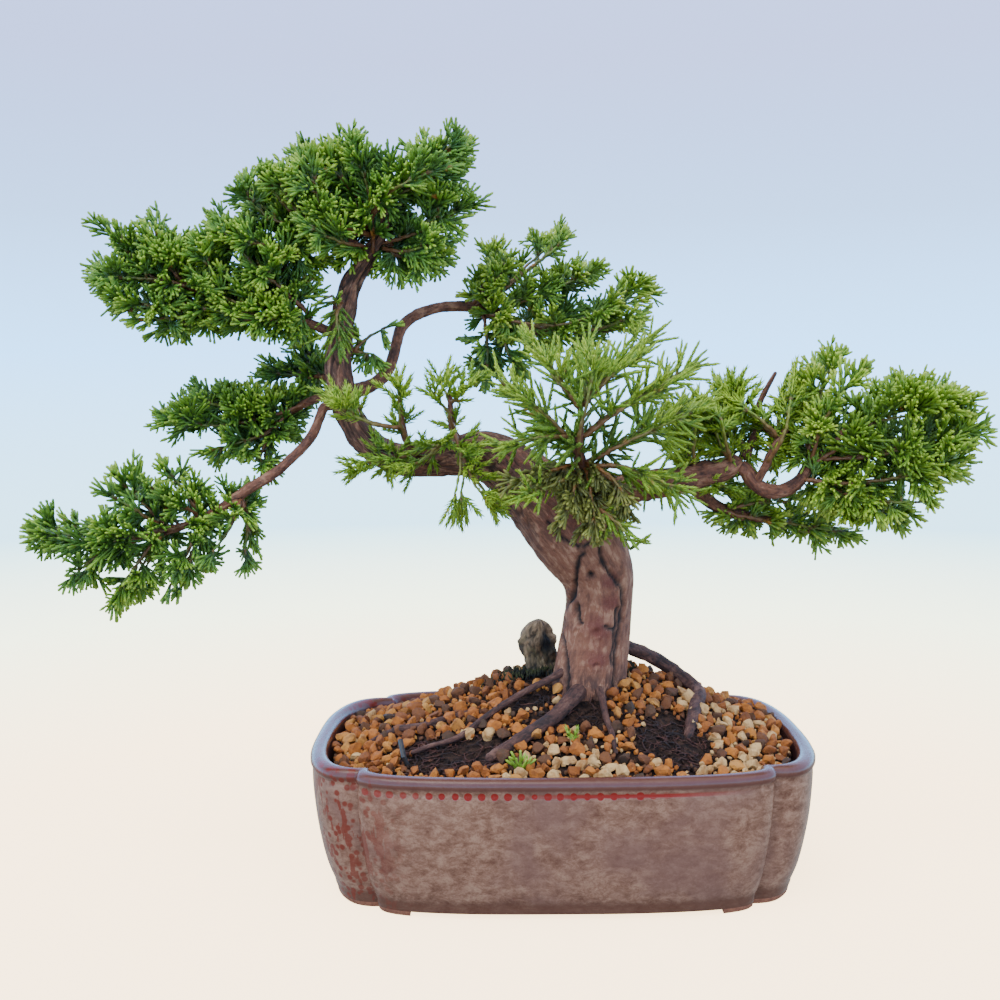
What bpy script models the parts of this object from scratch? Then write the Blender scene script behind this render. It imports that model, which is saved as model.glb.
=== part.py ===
"""A juniper bonsai in a shallow glazed pot, as a Blender model in metres with +Z up.

The origin is on the ground under the middle of the whole plant. +X is to the viewer's right,
+Y is away from the front. Lengths below are in millimetres; MM turns them into metres.
"""

import math

import bmesh
import bpy
from mathutils import Matrix, Vector, noise

MM = 0.001
GAP = 0.3  # clearance that neighbouring solids keep

# Pot: an oblong with four notched corners. Insets are measured in from the rim's outermost line.
POT_X = 19.0
POT_HALF_LENGTH = 79.0
POT_HALF_DEPTH = 56.6
NOTCH_X = 0.776  # where a corner notch lies, as a share of the half length
NOTCH_Y = 0.797  # and as a share of the half depth
LOBE_ROUNDNESS = 2.7  # exponent of each lobe's superellipse
LOBE_POINTS = 12
FOOT_HEIGHT = 1.6
UNDERSIDE = 3.4
FLOOR_TOP = 7.0
RIM_TOP = 43.6
DRAIN_OFFSET = 34.0
DRAIN_RADIUS = 7.0
WIRE_HOLE_OFFSET = 9.0
WIRE_HOLE_RADIUS = 2.0
FOOT_GAP_FRONT = 92.0
FOOT_GAP_SIDE = 50.0

POT_OUTSIDE = [  # (inset, height) from the foot up to the rim's crown
    (7.6, 0.0),
    (7.0, FOOT_HEIGHT),
    (5.9, 4.8),
    (4.2, 10.0),
    (2.8, 16.5),
    (1.6, 24.0),
    (0.8, 32.0),
    (0.5, 38.6),
    (0.0, 40.2),
    (0.0, 42.0),
    (1.1, 43.3),
    (2.8, RIM_TOP),
]
POT_INSIDE = [  # (inset, height) from the crown down to the floor
    (4.4, 42.8),
    (5.2, 40.4),
    (6.2, 28.0),
    (8.4, 16.0),
    (11.8, 9.2),
    (16.0, FLOOR_TOP),
]
FOOT_INSIDE = [(17.6, UNDERSIDE), (15.8, 0.0)]

# Soil mound: highest behind the trunk, falling to just below the rim all round.
MOUND_X = 28.0
MOUND_Y = 14.0
MOUND_EDGE = 36.0
MOUND_RISE = 27.0
MOUND_LEFT = 44.0  # how far the mound spreads each way
MOUND_RIGHT = 40.0
MOUND_FRONT = 34.0
MOUND_BACK = 22.0
MOUND_SHARES = (1.0, 0.86, 0.7, 0.53, 0.36, 0.2)  # rings from the mound's edge to its top
GRAVEL_DEPTH = 4.0
SOIL_CLEARANCE = 0.5

# Routes below are lists of (x, y, z, radius).
TRUNK = [
    (27.6, 2, 40, 15.5),
    (28.0, 2, 49, 13.4),
    (28.8, 2, 58, 12.3),
    (30.2, 2, 68, 11.6),
    (31.6, 2, 78, 11.0),
    (32.4, 2, 87, 10.9),
    (31.4, 2, 95, 12.2),
    (27.4, 2, 103, 14.0),
    (22.0, 3, 110, 14.4),
    (15.9, 4, 116.5, 13.2),
    (9.5, 5, 122.5, 11.0),
    (2.6, 6, 128.6, 9.0),
    (-5.0, 7, 132.6, 7.6),
    (-14.4, 8, 132.4, 6.2),
    (-24.3, 9, 131.0, 5.5),
    (-34.1, 9, 131.8, 5.1),
    (-41.5, 8, 135.9, 4.8),
    (-46.7, 8, 142.2, 4.6),
    (-49.8, 8, 149.8, 4.5),
    (-51.6, 8, 158.0, 4.4),
    (-51.8, 8, 165.0, 4.2),
    (-51.1, 8, 172.0, 4.1),
    (-49.8, 9, 180.3, 3.9),
    (-47.6, 9, 188.0, 3.6),
    (-43.8, 9, 194.6, 3.2),
    (-39.8, 8, 200.0, 2.6),
    (-36.6, 6, 206.0, 1.8),
    (-35.0, 5, 212.0, 1.1),
]
CUT_STUMP = [(17.5, 14, 53, 6.4), (15.2, 13, 60, 6.3), (13.4, 12, 66, 6.6), (12.6, 11, 72, 6.7),
             (13.0, 10, 77.5, 5.2)]

ROOTS = {
    "root_right_arch": [(36, 6, 70.5, 2.6), (42.7, 10, 68.0, 2.3), (48.8, 13, 65.0, 2.3),
                        (54.8, 14.5, 61.6, 2.3), (60.4, 12.5, 57.8, 2.3), (64.6, 7.5, 54.8, 2.3),
                        (65.0, 1, 53.4, 2.3), (63.1, -5.2, 51.9, 2.2), (60.4, -14, 49.4, 1.9),
                        (58.0, -22, 45.6, 1.4)],
    "root_left_long": [(21.5, -4, 63.6, 1.6), (16.6, -6.5, 61.6, 1.2), (10.5, -8, 59.0, 1.1),
                       (2.0, -11, 54.9, 1.0), (-6.5, -16, 50.2, 1.0), (-10.9, -20, 47.6, 0.95),
                       (-15.8, -22.2, 45.7, 0.9), (-22.0, -23, 44.2, 0.8), (-27.8, -24, 42.4, 0.7)],
    "root_left_thick": [(26, -7, 58.4, 3.0), (22.2, -13.2, 56.0, 2.6), (16.2, -20.6, 52.3, 2.3),
                        (9.7, -25.4, 49.3, 2.1), (2.0, -30.2, 45.8, 1.9), (-4.4, -33.8, 43.0, 1.5)],
    "root_far_left": [(-10, -5, 50.0, 1.1), (-18, -7, 48.6, 1.1), (-25.6, -8, 46.7, 1.1),
                      (-32.0, -6, 45.3, 1.1), (-37.1, -7, 43.6, 1.0), (-42.9, -9.5, 41.3, 0.8)],
    "root_front": [(31.2, -8, 59.0, 1.4), (32.1, -13.4, 56.4, 1.2), (32.7, -20, 52.6, 1.0),
                   (33.9, -27.2, 48.9, 0.9), (34.5, -34.8, 44.8, 0.7)],
}

BRANCHES = {
    "branch_lower_left": [(-47.5, 8, 147.5, 2.0), (-52.5, 6.5, 149.6, 1.7), (-56.1, 4, 149.0, 1.65),
                          (-57.6, 2, 145.6, 1.6), (-58.9, 0, 141.6, 1.6), (-61.9, -2, 136.9, 1.6),
                          (-66.3, -3, 132.5, 1.6), (-72.0, -4, 127.7, 1.65), (-78.8, -4, 123.7, 1.7),
                          (-84.8, -5, 119.6, 1.6), (-93.9, -5, 114.0, 1.3), (-105.1, -5, 110.2, 1.2),
                          (-118.1, -5, 106.5, 0.9)],
    "branch_mid_left": [(-51.5, 9, 154.6, 1.6), (-56.4, 13, 153.2, 1.45), (-63.8, 18, 150.5, 1.3),
                        (-69.0, 21, 147.9, 1.2), (-74.1, 23, 145.8, 1.15), (-79.5, 24, 144.6, 1.0),
                        (-90.0, 24, 142.0, 0.8)],
    "branch_back_left": [(-51.5, 10, 158.2, 1.3), (-57.0, 17, 158.6, 1.1), (-62.5, 23, 159.4, 1.0),
                         (-68.0, 26, 160.0, 0.8)],
    "branch_top_left": [(-50.8, 8, 170.4, 2.0), (-55.0, 7, 173.4, 1.65), (-60.6, 5, 175.8, 1.5),
                        (-67.5, 3, 177.0, 1.4), (-75.9, 1, 178.2, 1.3), (-86.6, -1, 181.5, 1.2),
                        (-97.1, -3, 185.6, 1.1), (-106.0, -4, 187.7, 0.8)],
    "branch_crown_left": [(-41.5, 8, 197.6, 1.5), (-46.0, 7, 201.4, 1.3), (-52.0, 5, 204.0, 1.2),
                          (-60.0, 4, 204.0, 1.1), (-69.0, 4, 200.0, 0.8)],
    "branch_upper_right": [(-48.5, 10, 153.8, 2.4), (-43.6, 14, 155.2, 2.3), (-39.2, 17, 158.0, 2.15),
                           (-36.0, 19, 162.8, 2.0), (-34.2, 21, 169.4, 1.9), (-32.2, 24, 175.8, 1.9),
                           (-27.4, 27, 179.8, 1.85), (-19.4, 30, 182.4, 1.8), (-9.8, 33, 182.8, 1.8),
                           (-2.6, 35, 180.4, 1.6), (4.3, 38, 176.9, 1.5), (14.0, 41, 174.4, 1.3),
                           (24.0, 43, 176.0, 0.9)],
    "branch_right": [(22, 3, 113, 8.0), (33.5, 1.5, 118.6, 6.8), (41.0, 0, 121.6, 5.4),
                     (48.5, -2, 123.2, 4.9), (56.2, -3.5, 124.4, 4.6), (64.2, -4, 126.4, 4.2),
                     (71.6, -4, 128.2, 3.7), (77.4, -4, 131.2, 2.9)],
    "branch_front": [(27, 0, 116, 4.0), (27.4, -9, 122, 3.4), (26.4, -18, 127.5, 2.6),
                     (24.6, -27, 131.5, 2.0), (23.4, -33, 138.0, 1.5), (24.2, -35, 146.0, 1.0)],
    "branch_right_loop": [(76.2, -4, 129.6, 2.4), (78.8, -4.5, 127.4, 2.3), (81.0, -5, 124.2, 2.3),
                          (85.5, -6, 121.2, 2.3), (90.9, -6, 121.5, 2.2), (95.8, -5, 124.6, 2.0),
                          (99.2, -4, 129.2, 1.8), (104.9, -4, 134.0, 1.4), (111.0, -4, 141.0, 1.0)],
    "branch_right_lower": [(61.9, -3, 123.4, 2.6), (66.2, 4, 119.4, 2.3), (71.0, 8, 115.6, 2.1),
                           (77.9, 10, 112.6, 1.9), (88.5, 12, 110.6, 1.6), (97.3, 14, 107.8, 1.3),
                           (105.9, 15, 106.0, 0.9)],
    "dead_twig": [(78.8, -3, 132.0, 1.6), (80.9, 0, 135.4, 1.3), (83.2, 1.5, 140.5, 1.2),
                  (83.4, 2, 146.5, 1.0), (85.8, 2, 152.5, 0.9), (89.4, 2, 159.0, 0.6)],
    "twig_right_upright": [(81.6, -5.2, 123.6, 1.4), (84.4, -8.4, 129.8, 1.3),
                           (87.6, -9.6, 137.0, 1.2), (91.4, -10, 142.6, 0.8)],
    "twig_front_left": [(-24.3, 8, 132.5, 1.6), (-26.6, 2.5, 134.0, 1.3), (-29.2, -2, 137.6, 1.2),
                        (-30.6, -4, 143.4, 1.1), (-31.1, -5, 151.4, 0.8)],
    "twig_front_mid": [(-10.5, 6, 135.0, 1.6), (-12.4, 0, 137.8, 1.3), (-14.4, -4, 141.4, 1.1),
                       (-15.0, -6, 147.0, 1.0), (-15.2, -6, 153.5, 0.7)],
}

# Which solids each tube grows out of or passes close to.
TUBE_NEIGHBOURS = {
    "branch_right_loop": ["branch_right"],
    "branch_right_lower": ["branch_right"],
    "dead_twig": ["branch_right", "branch_right_loop"],
    "twig_right_upright": ["branch_right", "branch_right_loop"],
    "branch_front": ["branch_right"],
    "branch_mid_left": ["branch_lower_left"],
    "branch_back_left": ["branch_mid_left"],
    "branch_upper_right": ["branch_mid_left", "branch_back_left"],
    "root_left_thick": ["root_left_long"],
}

# Foliage pads: centre, half sizes, and lean about the Y axis in degrees.
FOLIAGE = {
    "foliage_apex": ((-35, 7, 213.6), (29, 25, 25.4), 0),
    "foliage_top_left_tip": ((-109.5, -1, 189), (20.5, 18, 20), -8),
    "foliage_top_left_inner": ((-76, 4, 195.5), (21, 20, 26), 12),
    "foliage_back_left": ((-69.5, 27, 159), (11.5, 10, 14), 0),
    "foliage_mid_left": ((-88, 20, 142), (28, 16, 17), -8),
    "foliage_lower_left": ((-115.5, -5, 110), (39.5, 21, 20), -12),
    "foliage_upper_right": ((25, 41, 187.5), (33, 21, 24), 8),
    "foliage_upper_right_hanging": ((0, 34, 162), (10, 9, 14), 0),
    "foliage_front_centre": ((28.5, -34, 141), (37, 27, 30), 0),
    "foliage_front_left": ((-27, -7, 137), (27, 14, 21), 0),
    "foliage_right_inner": ((75, 11, 145), (19, 18, 21), 0),
    "foliage_right": ((121, -5, 137), (34, 27, 27), -6),
    "foliage_right_under": ((96, 17, 110), (31, 15, 9.5), 4),
    "foliage_trunk_spray": ((-50, -3.5, 175), (5.5, 5, 11.5), 0),
    "foliage_leader_side": ((-38.5, 10, 177), (5.5, 5, 13), 0),
}
LUMP_HEIGHT = 0.12  # how far a pad's outline swells and sinks, as a share of its half size

MESH_PITCH = 5.5
MESH_CELLS = 4
MESH_THICKNESS = 1.0
CLIP_RADIUS = 0.5
TIE_RADIUS = 0.8


def clear_scene():
    for old in list(bpy.data.objects):
        bpy.data.objects.remove(old, do_unlink=True)


def add_collection(name):
    collection = bpy.data.collections.new(name)
    bpy.context.scene.collection.children.link(collection)
    return collection


def add_material(name, colour, roughness, metallic=0.0):
    material = bpy.data.materials.new(name)
    material.use_nodes = True
    shader = material.node_tree.nodes["Principled BSDF"]
    shader.inputs["Base Color"].default_value = (*colour, 1.0)
    shader.inputs["Roughness"].default_value = roughness
    shader.inputs["Metallic"].default_value = metallic
    return material


def add_part(name, mesh, material):
    part = bpy.data.objects.new(name, mesh)
    parts.objects.link(part)
    mesh.materials.clear()
    mesh.materials.append(material)
    mesh.shade_smooth()
    mesh.set_sharp_from_angle(angle=math.radians(40))
    return part


def add_cutter(name, mesh):
    cutter = bpy.data.objects.new(name, mesh)
    cutters.objects.link(cutter)
    cutter.hide_render = True
    cutter.display_type = "WIRE"
    return cutter


def cut(part, cutter, solver="EXACT"):
    modifier = part.modifiers.new("cut " + cutter.name, "BOOLEAN")
    modifier.operation = "DIFFERENCE"
    modifier.solver = solver
    modifier.object = cutter


def smooth_route(route, spacing):
    """Points about spacing apart on a smooth curve through the route, each with its radius."""
    ends = [route[0]] + list(route) + [route[-1]]
    points = []
    for before, start, stop, after in zip(ends, ends[1:], ends[2:], ends[3:]):
        length = (Vector(stop[:3]) - Vector(start[:3])).length
        steps = max(1, round(length / spacing))
        for step in range(steps):
            t = step / steps
            points.append([
                0.5 * (2 * b + (c - a) * t + (2 * a - 5 * b + 4 * c - d) * t * t
                       + (3 * b - a - 3 * c + d) * t ** 3)
                for a, b, c, d in zip(before, start, stop, after)
            ])
    points.append(list(route[-1]))
    return points


def tube_mesh(name, points, roundness, grow=0.0):
    """A closed tube through the points, made from a bevelled curve."""
    curve = bpy.data.curves.new(name, "CURVE")
    curve.dimensions = "3D"
    curve.bevel_depth = MM
    curve.bevel_resolution = roundness
    curve.use_fill_caps = True
    spline = curve.splines.new("POLY")
    spline.points.add(len(points) - 1)
    for point, (x, y, z, radius) in zip(spline.points, points):
        point.co = (x * MM, y * MM, z * MM, 1.0)
        point.radius = radius + grow
    guide = bpy.data.objects.new(name + " guide", curve)
    cutters.objects.link(guide)
    bpy.context.view_layer.update()
    mesh = bpy.data.meshes.new_from_object(guide.evaluated_get(bpy.context.evaluated_depsgraph_get()))
    mesh.transform(guide.matrix_world)
    bpy.data.objects.remove(guide)
    shape = bmesh.new()
    shape.from_mesh(mesh)
    bmesh.ops.remove_doubles(shape, verts=shape.verts, dist=1e-6)
    bmesh.ops.recalc_face_normals(shape, faces=shape.faces)
    shape.to_mesh(mesh)
    shape.free()
    return mesh


def stretch_ends(points, extra):
    """The same points, with both ends pushed out by extra."""
    longer = [list(point) for point in points]
    for end, inner in ((0, 1), (-1, -2)):
        tip, neck = Vector(points[end][:3]), Vector(points[inner][:3])
        longer[end][:3] = tip + (tip - neck).normalized() * extra
    return longer


def add_tube(name, route, material, spacing=5.0, roundness=2):
    points = smooth_route(route, spacing)
    clearances[name] = add_cutter(
        name + " clearance", tube_mesh(name + " clearance", stretch_ends(points, GAP), roundness, GAP)
    )
    return add_part(name, tube_mesh(name, points, roundness), material)


def pot_outline(inset, height):
    """One closed ring of the pot's lobed plan, counter-clockwise from the front left notch."""
    half_length = POT_HALF_LENGTH - inset
    half_depth = POT_HALF_DEPTH - inset
    notch_x = NOTCH_X * half_length
    notch_y = NOTCH_Y * half_depth
    ring = []
    for side in range(4):
        along = notch_x if side % 2 == 0 else notch_y
        base = notch_y if side % 2 == 0 else notch_x
        bulge = (half_depth - notch_y) if side % 2 == 0 else (half_length - notch_x)
        turn = Matrix.Rotation(side * math.pi / 2, 2)
        for step in range(LOBE_POINTS):
            angle = math.pi * step / LOBE_POINTS
            across = math.copysign(abs(math.cos(angle)) ** (2 / LOBE_ROUNDNESS), math.cos(angle))
            out = math.sin(angle) ** (2 / LOBE_ROUNDNESS)
            x, y = turn @ Vector((-along * across, -base - bulge * out))
            ring.append(Vector((x + POT_X, y, height)))
    return ring


def ring_stack(name, rings):
    """A closed mesh lofted through rings that all have the same number of points."""
    shape = bmesh.new()
    loops = [[shape.verts.new(point * MM) for point in ring] for ring in rings]
    shape.faces.new(loops[0])
    shape.faces.new(loops[-1])
    for lower, upper in zip(loops, loops[1:]):
        for i in range(len(lower)):
            shape.faces.new((lower[i - 1], lower[i], upper[i], upper[i - 1]))
    bmesh.ops.recalc_face_normals(shape, faces=shape.faces)
    mesh = bpy.data.meshes.new(name)
    shape.to_mesh(mesh)
    shape.free()
    return mesh


def box_cutter(name, centre, size):
    shape = bmesh.new()
    place = Matrix.Translation(Vector(centre) * MM) @ Matrix.Diagonal((*(Vector(size) * MM), 1.0))
    bmesh.ops.create_cube(shape, size=1.0, matrix=place)
    mesh = bpy.data.meshes.new(name)
    shape.to_mesh(mesh)
    shape.free()
    return add_cutter(name, mesh)


def hole_cutter(name, centre, radius, depth):
    shape = bmesh.new()
    bmesh.ops.create_cone(shape, cap_ends=True, segments=24, radius1=radius * MM, radius2=radius * MM,
                          depth=depth * MM, matrix=Matrix.Translation(Vector(centre) * MM))
    mesh = bpy.data.meshes.new(name)
    shape.to_mesh(mesh)
    shape.free()
    return add_cutter(name, mesh)


def mound_height(x, y):
    spread_x = MOUND_LEFT if x < MOUND_X else MOUND_RIGHT
    spread_y = MOUND_FRONT if y < MOUND_Y else MOUND_BACK
    away = ((x - MOUND_X) / spread_x) ** 2 + ((y - MOUND_Y) / spread_y) ** 2
    return MOUND_EDGE + MOUND_RISE * math.exp(-away / 2)


def mound_rings(inset, drop, shares):
    """Rings of the mound's surface, lowered by drop, from its edge towards its top."""
    edge = pot_outline(inset, 0.0)
    rings = []
    for share in shares:
        ring = []
        for point in edge:
            x = MOUND_X + (point.x - MOUND_X) * share
            y = MOUND_Y + (point.y - MOUND_Y) * share
            ring.append(Vector((x, y, mound_height(x, y) - drop)))
        rings.append(ring)
    return rings


def make_pot():
    rings = [pot_outline(inset, height) for inset, height in FOOT_INSIDE + POT_OUTSIDE + POT_INSIDE]
    pot = add_part("pot", ring_stack("pot", rings), glaze)
    cut(pot, box_cutter("front foot gap", (POT_X, 0, 0), (FOOT_GAP_FRONT, 160, 2 * FOOT_HEIGHT)))
    cut(pot, box_cutter("side foot gap", (POT_X, 0, 0), (220, FOOT_GAP_SIDE, 2 * FOOT_HEIGHT)))
    for side in (-1, 1):
        cut(pot, hole_cutter("drain hole", (POT_X + side * DRAIN_OFFSET, 0, 5), DRAIN_RADIUS, 12))
        cut(pot, hole_cutter("wire hole", (POT_X + side * WIRE_HOLE_OFFSET, 0, 5), WIRE_HOLE_RADIUS, 12))


def make_drainage(side, word):
    """A plastic mesh over a drain hole, and the bent wire clip that holds it."""
    centre_x = POT_X + side * DRAIN_OFFSET
    mesh_z = FLOOR_TOP + GAP + MESH_THICKNESS / 2
    size = MESH_PITCH * MESH_CELLS
    shape = bmesh.new()
    bmesh.ops.create_grid(shape, x_segments=MESH_CELLS, y_segments=MESH_CELLS, size=size / 2 * MM,
                          matrix=Matrix.Translation(Vector((centre_x, 0, mesh_z)) * MM))
    bmesh.ops.wireframe(shape, faces=shape.faces, thickness=MESH_THICKNESS * MM, use_boundary=True,
                        use_even_offset=True, use_replace=True)
    bmesh.ops.recalc_face_normals(shape, faces=shape.faces)
    mesh = bpy.data.meshes.new("drainage_mesh_" + word)
    shape.to_mesh(mesh)
    shape.free()
    add_part("drainage_mesh_" + word, mesh, black_plastic)

    leg = MESH_PITCH / 2
    below = UNDERSIDE - CLIP_RADIUS - GAP
    above = mesh_z + MESH_THICKNESS / 2 + CLIP_RADIUS + GAP
    half = [(leg + 9.0, below), (leg + 1.2, below), (leg, below + 1.2), (leg, above - 1.2), (leg - 1.2, above)]
    route = [(-x, z) for x, z in half] + [(x, z) for x, z in reversed(half)]
    points = [(centre_x + x, leg, z, CLIP_RADIUS) for x, z in route]
    add_part("mesh_clip_" + word, tube_mesh("mesh_clip_" + word, points, 2), bare_wire)
    return box_cutter("mesh pocket", (centre_x, 0, FLOOR_TOP), (size + 4, size + 4, 8))


def make_soil(pockets):
    wall = [pot_outline(inset + SOIL_CLEARANCE, height + SOIL_CLEARANCE)
            for inset, height in reversed(POT_INSIDE[2:])]
    side = POT_INSIDE[2][0] + SOIL_CLEARANCE
    rings = wall + mound_rings(side, GRAVEL_DEPTH, MOUND_SHARES)
    soil = add_part("soil", ring_stack("soil", rings), dark_soil)
    for pocket in pockets:
        cut(soil, pocket)
    return soil


def make_gravel():
    side = POT_INSIDE[1][0] + 1.2
    under = mound_rings(side, GRAVEL_DEPTH - 2 * GAP, reversed(MOUND_SHARES))
    over = mound_rings(side, 0.0, MOUND_SHARES)
    for ring in over:
        for point in ring:
            point.z += 0.5 * noise.noise(point * 0.13)
    return add_part("gravel_dressing", ring_stack("gravel_dressing", under + over), gravel)


def make_tie_wire():
    """The tie wire: a U through the floor's two wire holes, with one end left standing at the front."""
    below = UNDERSIDE - TIE_RADIUS - GAP
    left, right = POT_X - WIRE_HOLE_OFFSET, POT_X + WIRE_HOLE_OFFSET
    route = [(-31.0, -24, 46.5), (-29.6, -29, 42.6), (-26.0, -28, 34.0), (-6.0, -10, 22.0),
             (left - 0.6, -1, 13.0), (left, 0, 7.5), (left, 0, below + 1.6), (left + 1.6, 0, below),
             (right - 1.6, 0, below), (right, 0, below + 1.6), (right, 0, 7.5), (right + 1.5, 1, 15.0),
             (right + 12.0, 8, 27.0), (right + 24.0, 14, 40.0)]
    points = [(x, y, z, TIE_RADIUS) for x, y, z in route]
    clearances["tie_down_wire"] = add_cutter(
        "tie clearance", tube_mesh("tie clearance", stretch_ends(points, GAP), 2, GAP)
    )
    add_part("tie_down_wire", tube_mesh("tie_down_wire", points, 2), black_plastic)


def make_wood():
    add_tube("trunk", TRUNK, trunk_bark, spacing=7.0, roundness=4)
    stump = add_tube("cut_stump", CUT_STUMP, old_wood, roundness=3)
    cut(stump, clearances["trunk"])
    for routes, material in ((ROOTS, root_bark), (BRANCHES, branch_bark)):
        for name, route in routes.items():
            tube = add_tube(name, route, material)
            cut(tube, clearances["trunk"])
            for neighbour in TUBE_NEIGHBOURS.get(name, []):
                cut(tube, clearances[neighbour])


def pad_mesh(name, centre, half_sizes, lean, grow=0.0):
    """A lumpy rounded form that holds one pad of foliage."""
    shape = bmesh.new()
    bmesh.ops.create_icosphere(shape, subdivisions=2, radius=1.0)
    turn = Matrix.Rotation(math.radians(lean), 3, "Y")
    for vert in shape.verts:
        way = vert.co.copy()
        lump = 1.0 + LUMP_HEIGHT * noise.noise(way * 1.7 + Vector(centre))
        scaled = Vector([way[i] * (half_sizes[i] * lump + grow) for i in range(3)])
        vert.co = (Vector(centre) + turn @ scaled) * MM
    mesh = bpy.data.meshes.new(name)
    shape.to_mesh(mesh)
    shape.free()
    return mesh


def boxes_meet(first, second):
    ends = [[[corner[i] for corner in box.bound_box] for i in range(3)] for box in (first, second)]
    return all(min(a) < max(b) and min(b) < max(a) for a, b in zip(*ends))


def make_foliage():
    done = [cutter for name, cutter in clearances.items() if not name.startswith("root")]
    for name, (centre, half_sizes, lean) in FOLIAGE.items():
        pad = add_part(name, pad_mesh(name, centre, half_sizes, lean), leaf_green)
        for cutter in done:
            if boxes_meet(pad, cutter):
                cut(pad, cutter)
        done.append(add_cutter(name + " clearance", pad_mesh(name, centre, half_sizes, lean, GAP)))


clear_scene()
parts = add_collection("bonsai_tree_in_pot")
cutters = add_collection("cutters")
clearances = {}

glaze = add_material("mauve brown glaze", (0.20, 0.13, 0.12), 0.3)
black_plastic = add_material("black plastic", (0.02, 0.02, 0.02), 0.5)
bare_wire = add_material("aluminium wire", (0.55, 0.53, 0.50), 0.35, 1.0)
dark_soil = add_material("dark soil", (0.035, 0.022, 0.016), 0.95)
gravel = add_material("ochre gravel", (0.45, 0.24, 0.09), 0.9)
trunk_bark = add_material("juniper bark", (0.26, 0.14, 0.11), 0.8)
branch_bark = add_material("branch bark", (0.20, 0.09, 0.06), 0.8)
root_bark = add_material("root bark", (0.14, 0.07, 0.05), 0.85)
old_wood = add_material("weathered stump", (0.25, 0.22, 0.16), 0.9)
leaf_green = add_material("juniper foliage", (0.08, 0.22, 0.03), 0.6)

make_pot()
pockets = [make_drainage(side, word) for side, word in ((-1, "left"), (1, "right"))]
make_tie_wire()
make_wood()
ground = [make_soil(pockets), make_gravel()]
for layer in ground:
    for name, clearance in list(clearances.items()):
        if name in ("trunk", "cut_stump", "tie_down_wire") or name.startswith("root"):
            # The exact solver loses the thin gravel layer where a root only grazes it.
            cut(layer, clearance, solver="MANIFOLD")
make_foliage()
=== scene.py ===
"""A juniper bonsai in a shallow glazed pot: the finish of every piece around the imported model.

Lengths are in metres unless a name ends in _mm or a comment says millimetres.
+X is to the viewer's right, +Y is away from the front, +Z is up.
"""

import math

import bpy
import numpy as np
from mathutils import Matrix, Vector, noise


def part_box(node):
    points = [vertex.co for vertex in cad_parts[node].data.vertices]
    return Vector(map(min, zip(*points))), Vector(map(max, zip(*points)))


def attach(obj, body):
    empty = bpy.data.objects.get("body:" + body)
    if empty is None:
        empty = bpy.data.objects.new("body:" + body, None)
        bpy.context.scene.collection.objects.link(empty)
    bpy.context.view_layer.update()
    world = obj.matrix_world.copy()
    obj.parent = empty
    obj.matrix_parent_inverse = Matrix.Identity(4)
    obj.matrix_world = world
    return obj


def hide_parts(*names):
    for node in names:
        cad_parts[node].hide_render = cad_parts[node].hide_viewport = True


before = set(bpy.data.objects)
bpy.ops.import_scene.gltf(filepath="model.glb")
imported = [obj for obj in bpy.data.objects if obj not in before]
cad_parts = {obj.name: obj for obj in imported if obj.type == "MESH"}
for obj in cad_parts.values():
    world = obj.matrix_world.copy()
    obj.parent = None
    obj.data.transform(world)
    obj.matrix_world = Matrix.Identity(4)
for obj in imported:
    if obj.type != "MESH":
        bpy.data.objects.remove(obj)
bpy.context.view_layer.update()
MM = 0.001


# ---------------------------------------------------------------- studio
# A pale floor that curves up into a wall all round, cream below and pale blue above,
# lit softly from above on the left, and the camera a little above the rim of the pot.
def start_material(name, roughness=0.6):
    """A new material and its shader."""
    material = bpy.data.materials.new(name)
    material.use_nodes = True
    shader = material.node_tree.nodes["Principled BSDF"]
    shader.inputs["Roughness"].default_value = roughness
    return material, shader


def is_socket(value):
    return isinstance(value, bpy.types.NodeSocket)


def tree_of(*values):
    """The node tree that the first socket among the values belongs to."""
    return next(value for value in values if is_socket(value)).id_data


def link(source, target):
    source.id_data.links.new(source, target)


def fill(socket, value):
    """Links a socket to another node's socket, or sets its own value."""
    if is_socket(value):
        link(value, socket)
    else:
        socket.default_value = (*value, 1.0) if socket.type == "RGBA" and len(value) == 3 else value


def add_node(owner, kind, **settings):
    """A node in a material, group or tree; settings are its properties, its sockets' names or i and a number."""
    node = getattr(owner, "node_tree", owner).nodes.new("ShaderNode" + kind)
    for name, value in settings.items():
        if hasattr(node, name) and name not in node.inputs:
            setattr(node, name, value)
        else:
            fill(node.inputs[int(name[1:])] if name[1:].isdigit() else node.inputs[name], value)
    return node


def start_group(name, inputs, outputs):
    """A shader node group and its own input and output sockets; each socket is given as name=kind."""
    group = bpy.data.node_groups.new(name, "ShaderNodeTree")
    for way, sockets in (("INPUT", inputs), ("OUTPUT", outputs)):
        for socket, kind in sockets.items():
            group.interface.new_socket(socket, in_out=way, socket_type="NodeSocket" + kind)
    return group, group.nodes.new("NodeGroupInput").outputs, group.nodes.new("NodeGroupOutput").inputs


def finish_with(shader, group, strength, depth, values):
    """Gives a shader the colour and the relief of a group that is fed its own values."""
    finish = add_node(shader.id_data, "Group", node_tree=group, **values).outputs
    link(finish["Color"], shader.inputs["Base Color"])
    bump(shader, finish["Height"], strength, depth)


def colour_ramp(factor, stops):
    """A colour ramp over factor; stops is a list of (place, (red, green, blue))."""
    ramp = add_node(tree_of(factor), "ValToRGB", Fac=factor)
    elements = ramp.color_ramp.elements
    while len(elements) < len(stops):
        elements.new(0.5)
    for element, (place, colour) in zip(elements, stops):
        element.position = place
        element.color = (*colour, 1.0)
    return ramp.outputs["Color"]


def value_ramp(factor, low, high):
    """0 below low, 1 above high, smooth between."""
    return add_node(tree_of(factor), "MapRange", interpolation_type="SMOOTHSTEP", Value=factor, i1=low,
                    i2=high).outputs["Result"]


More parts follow.
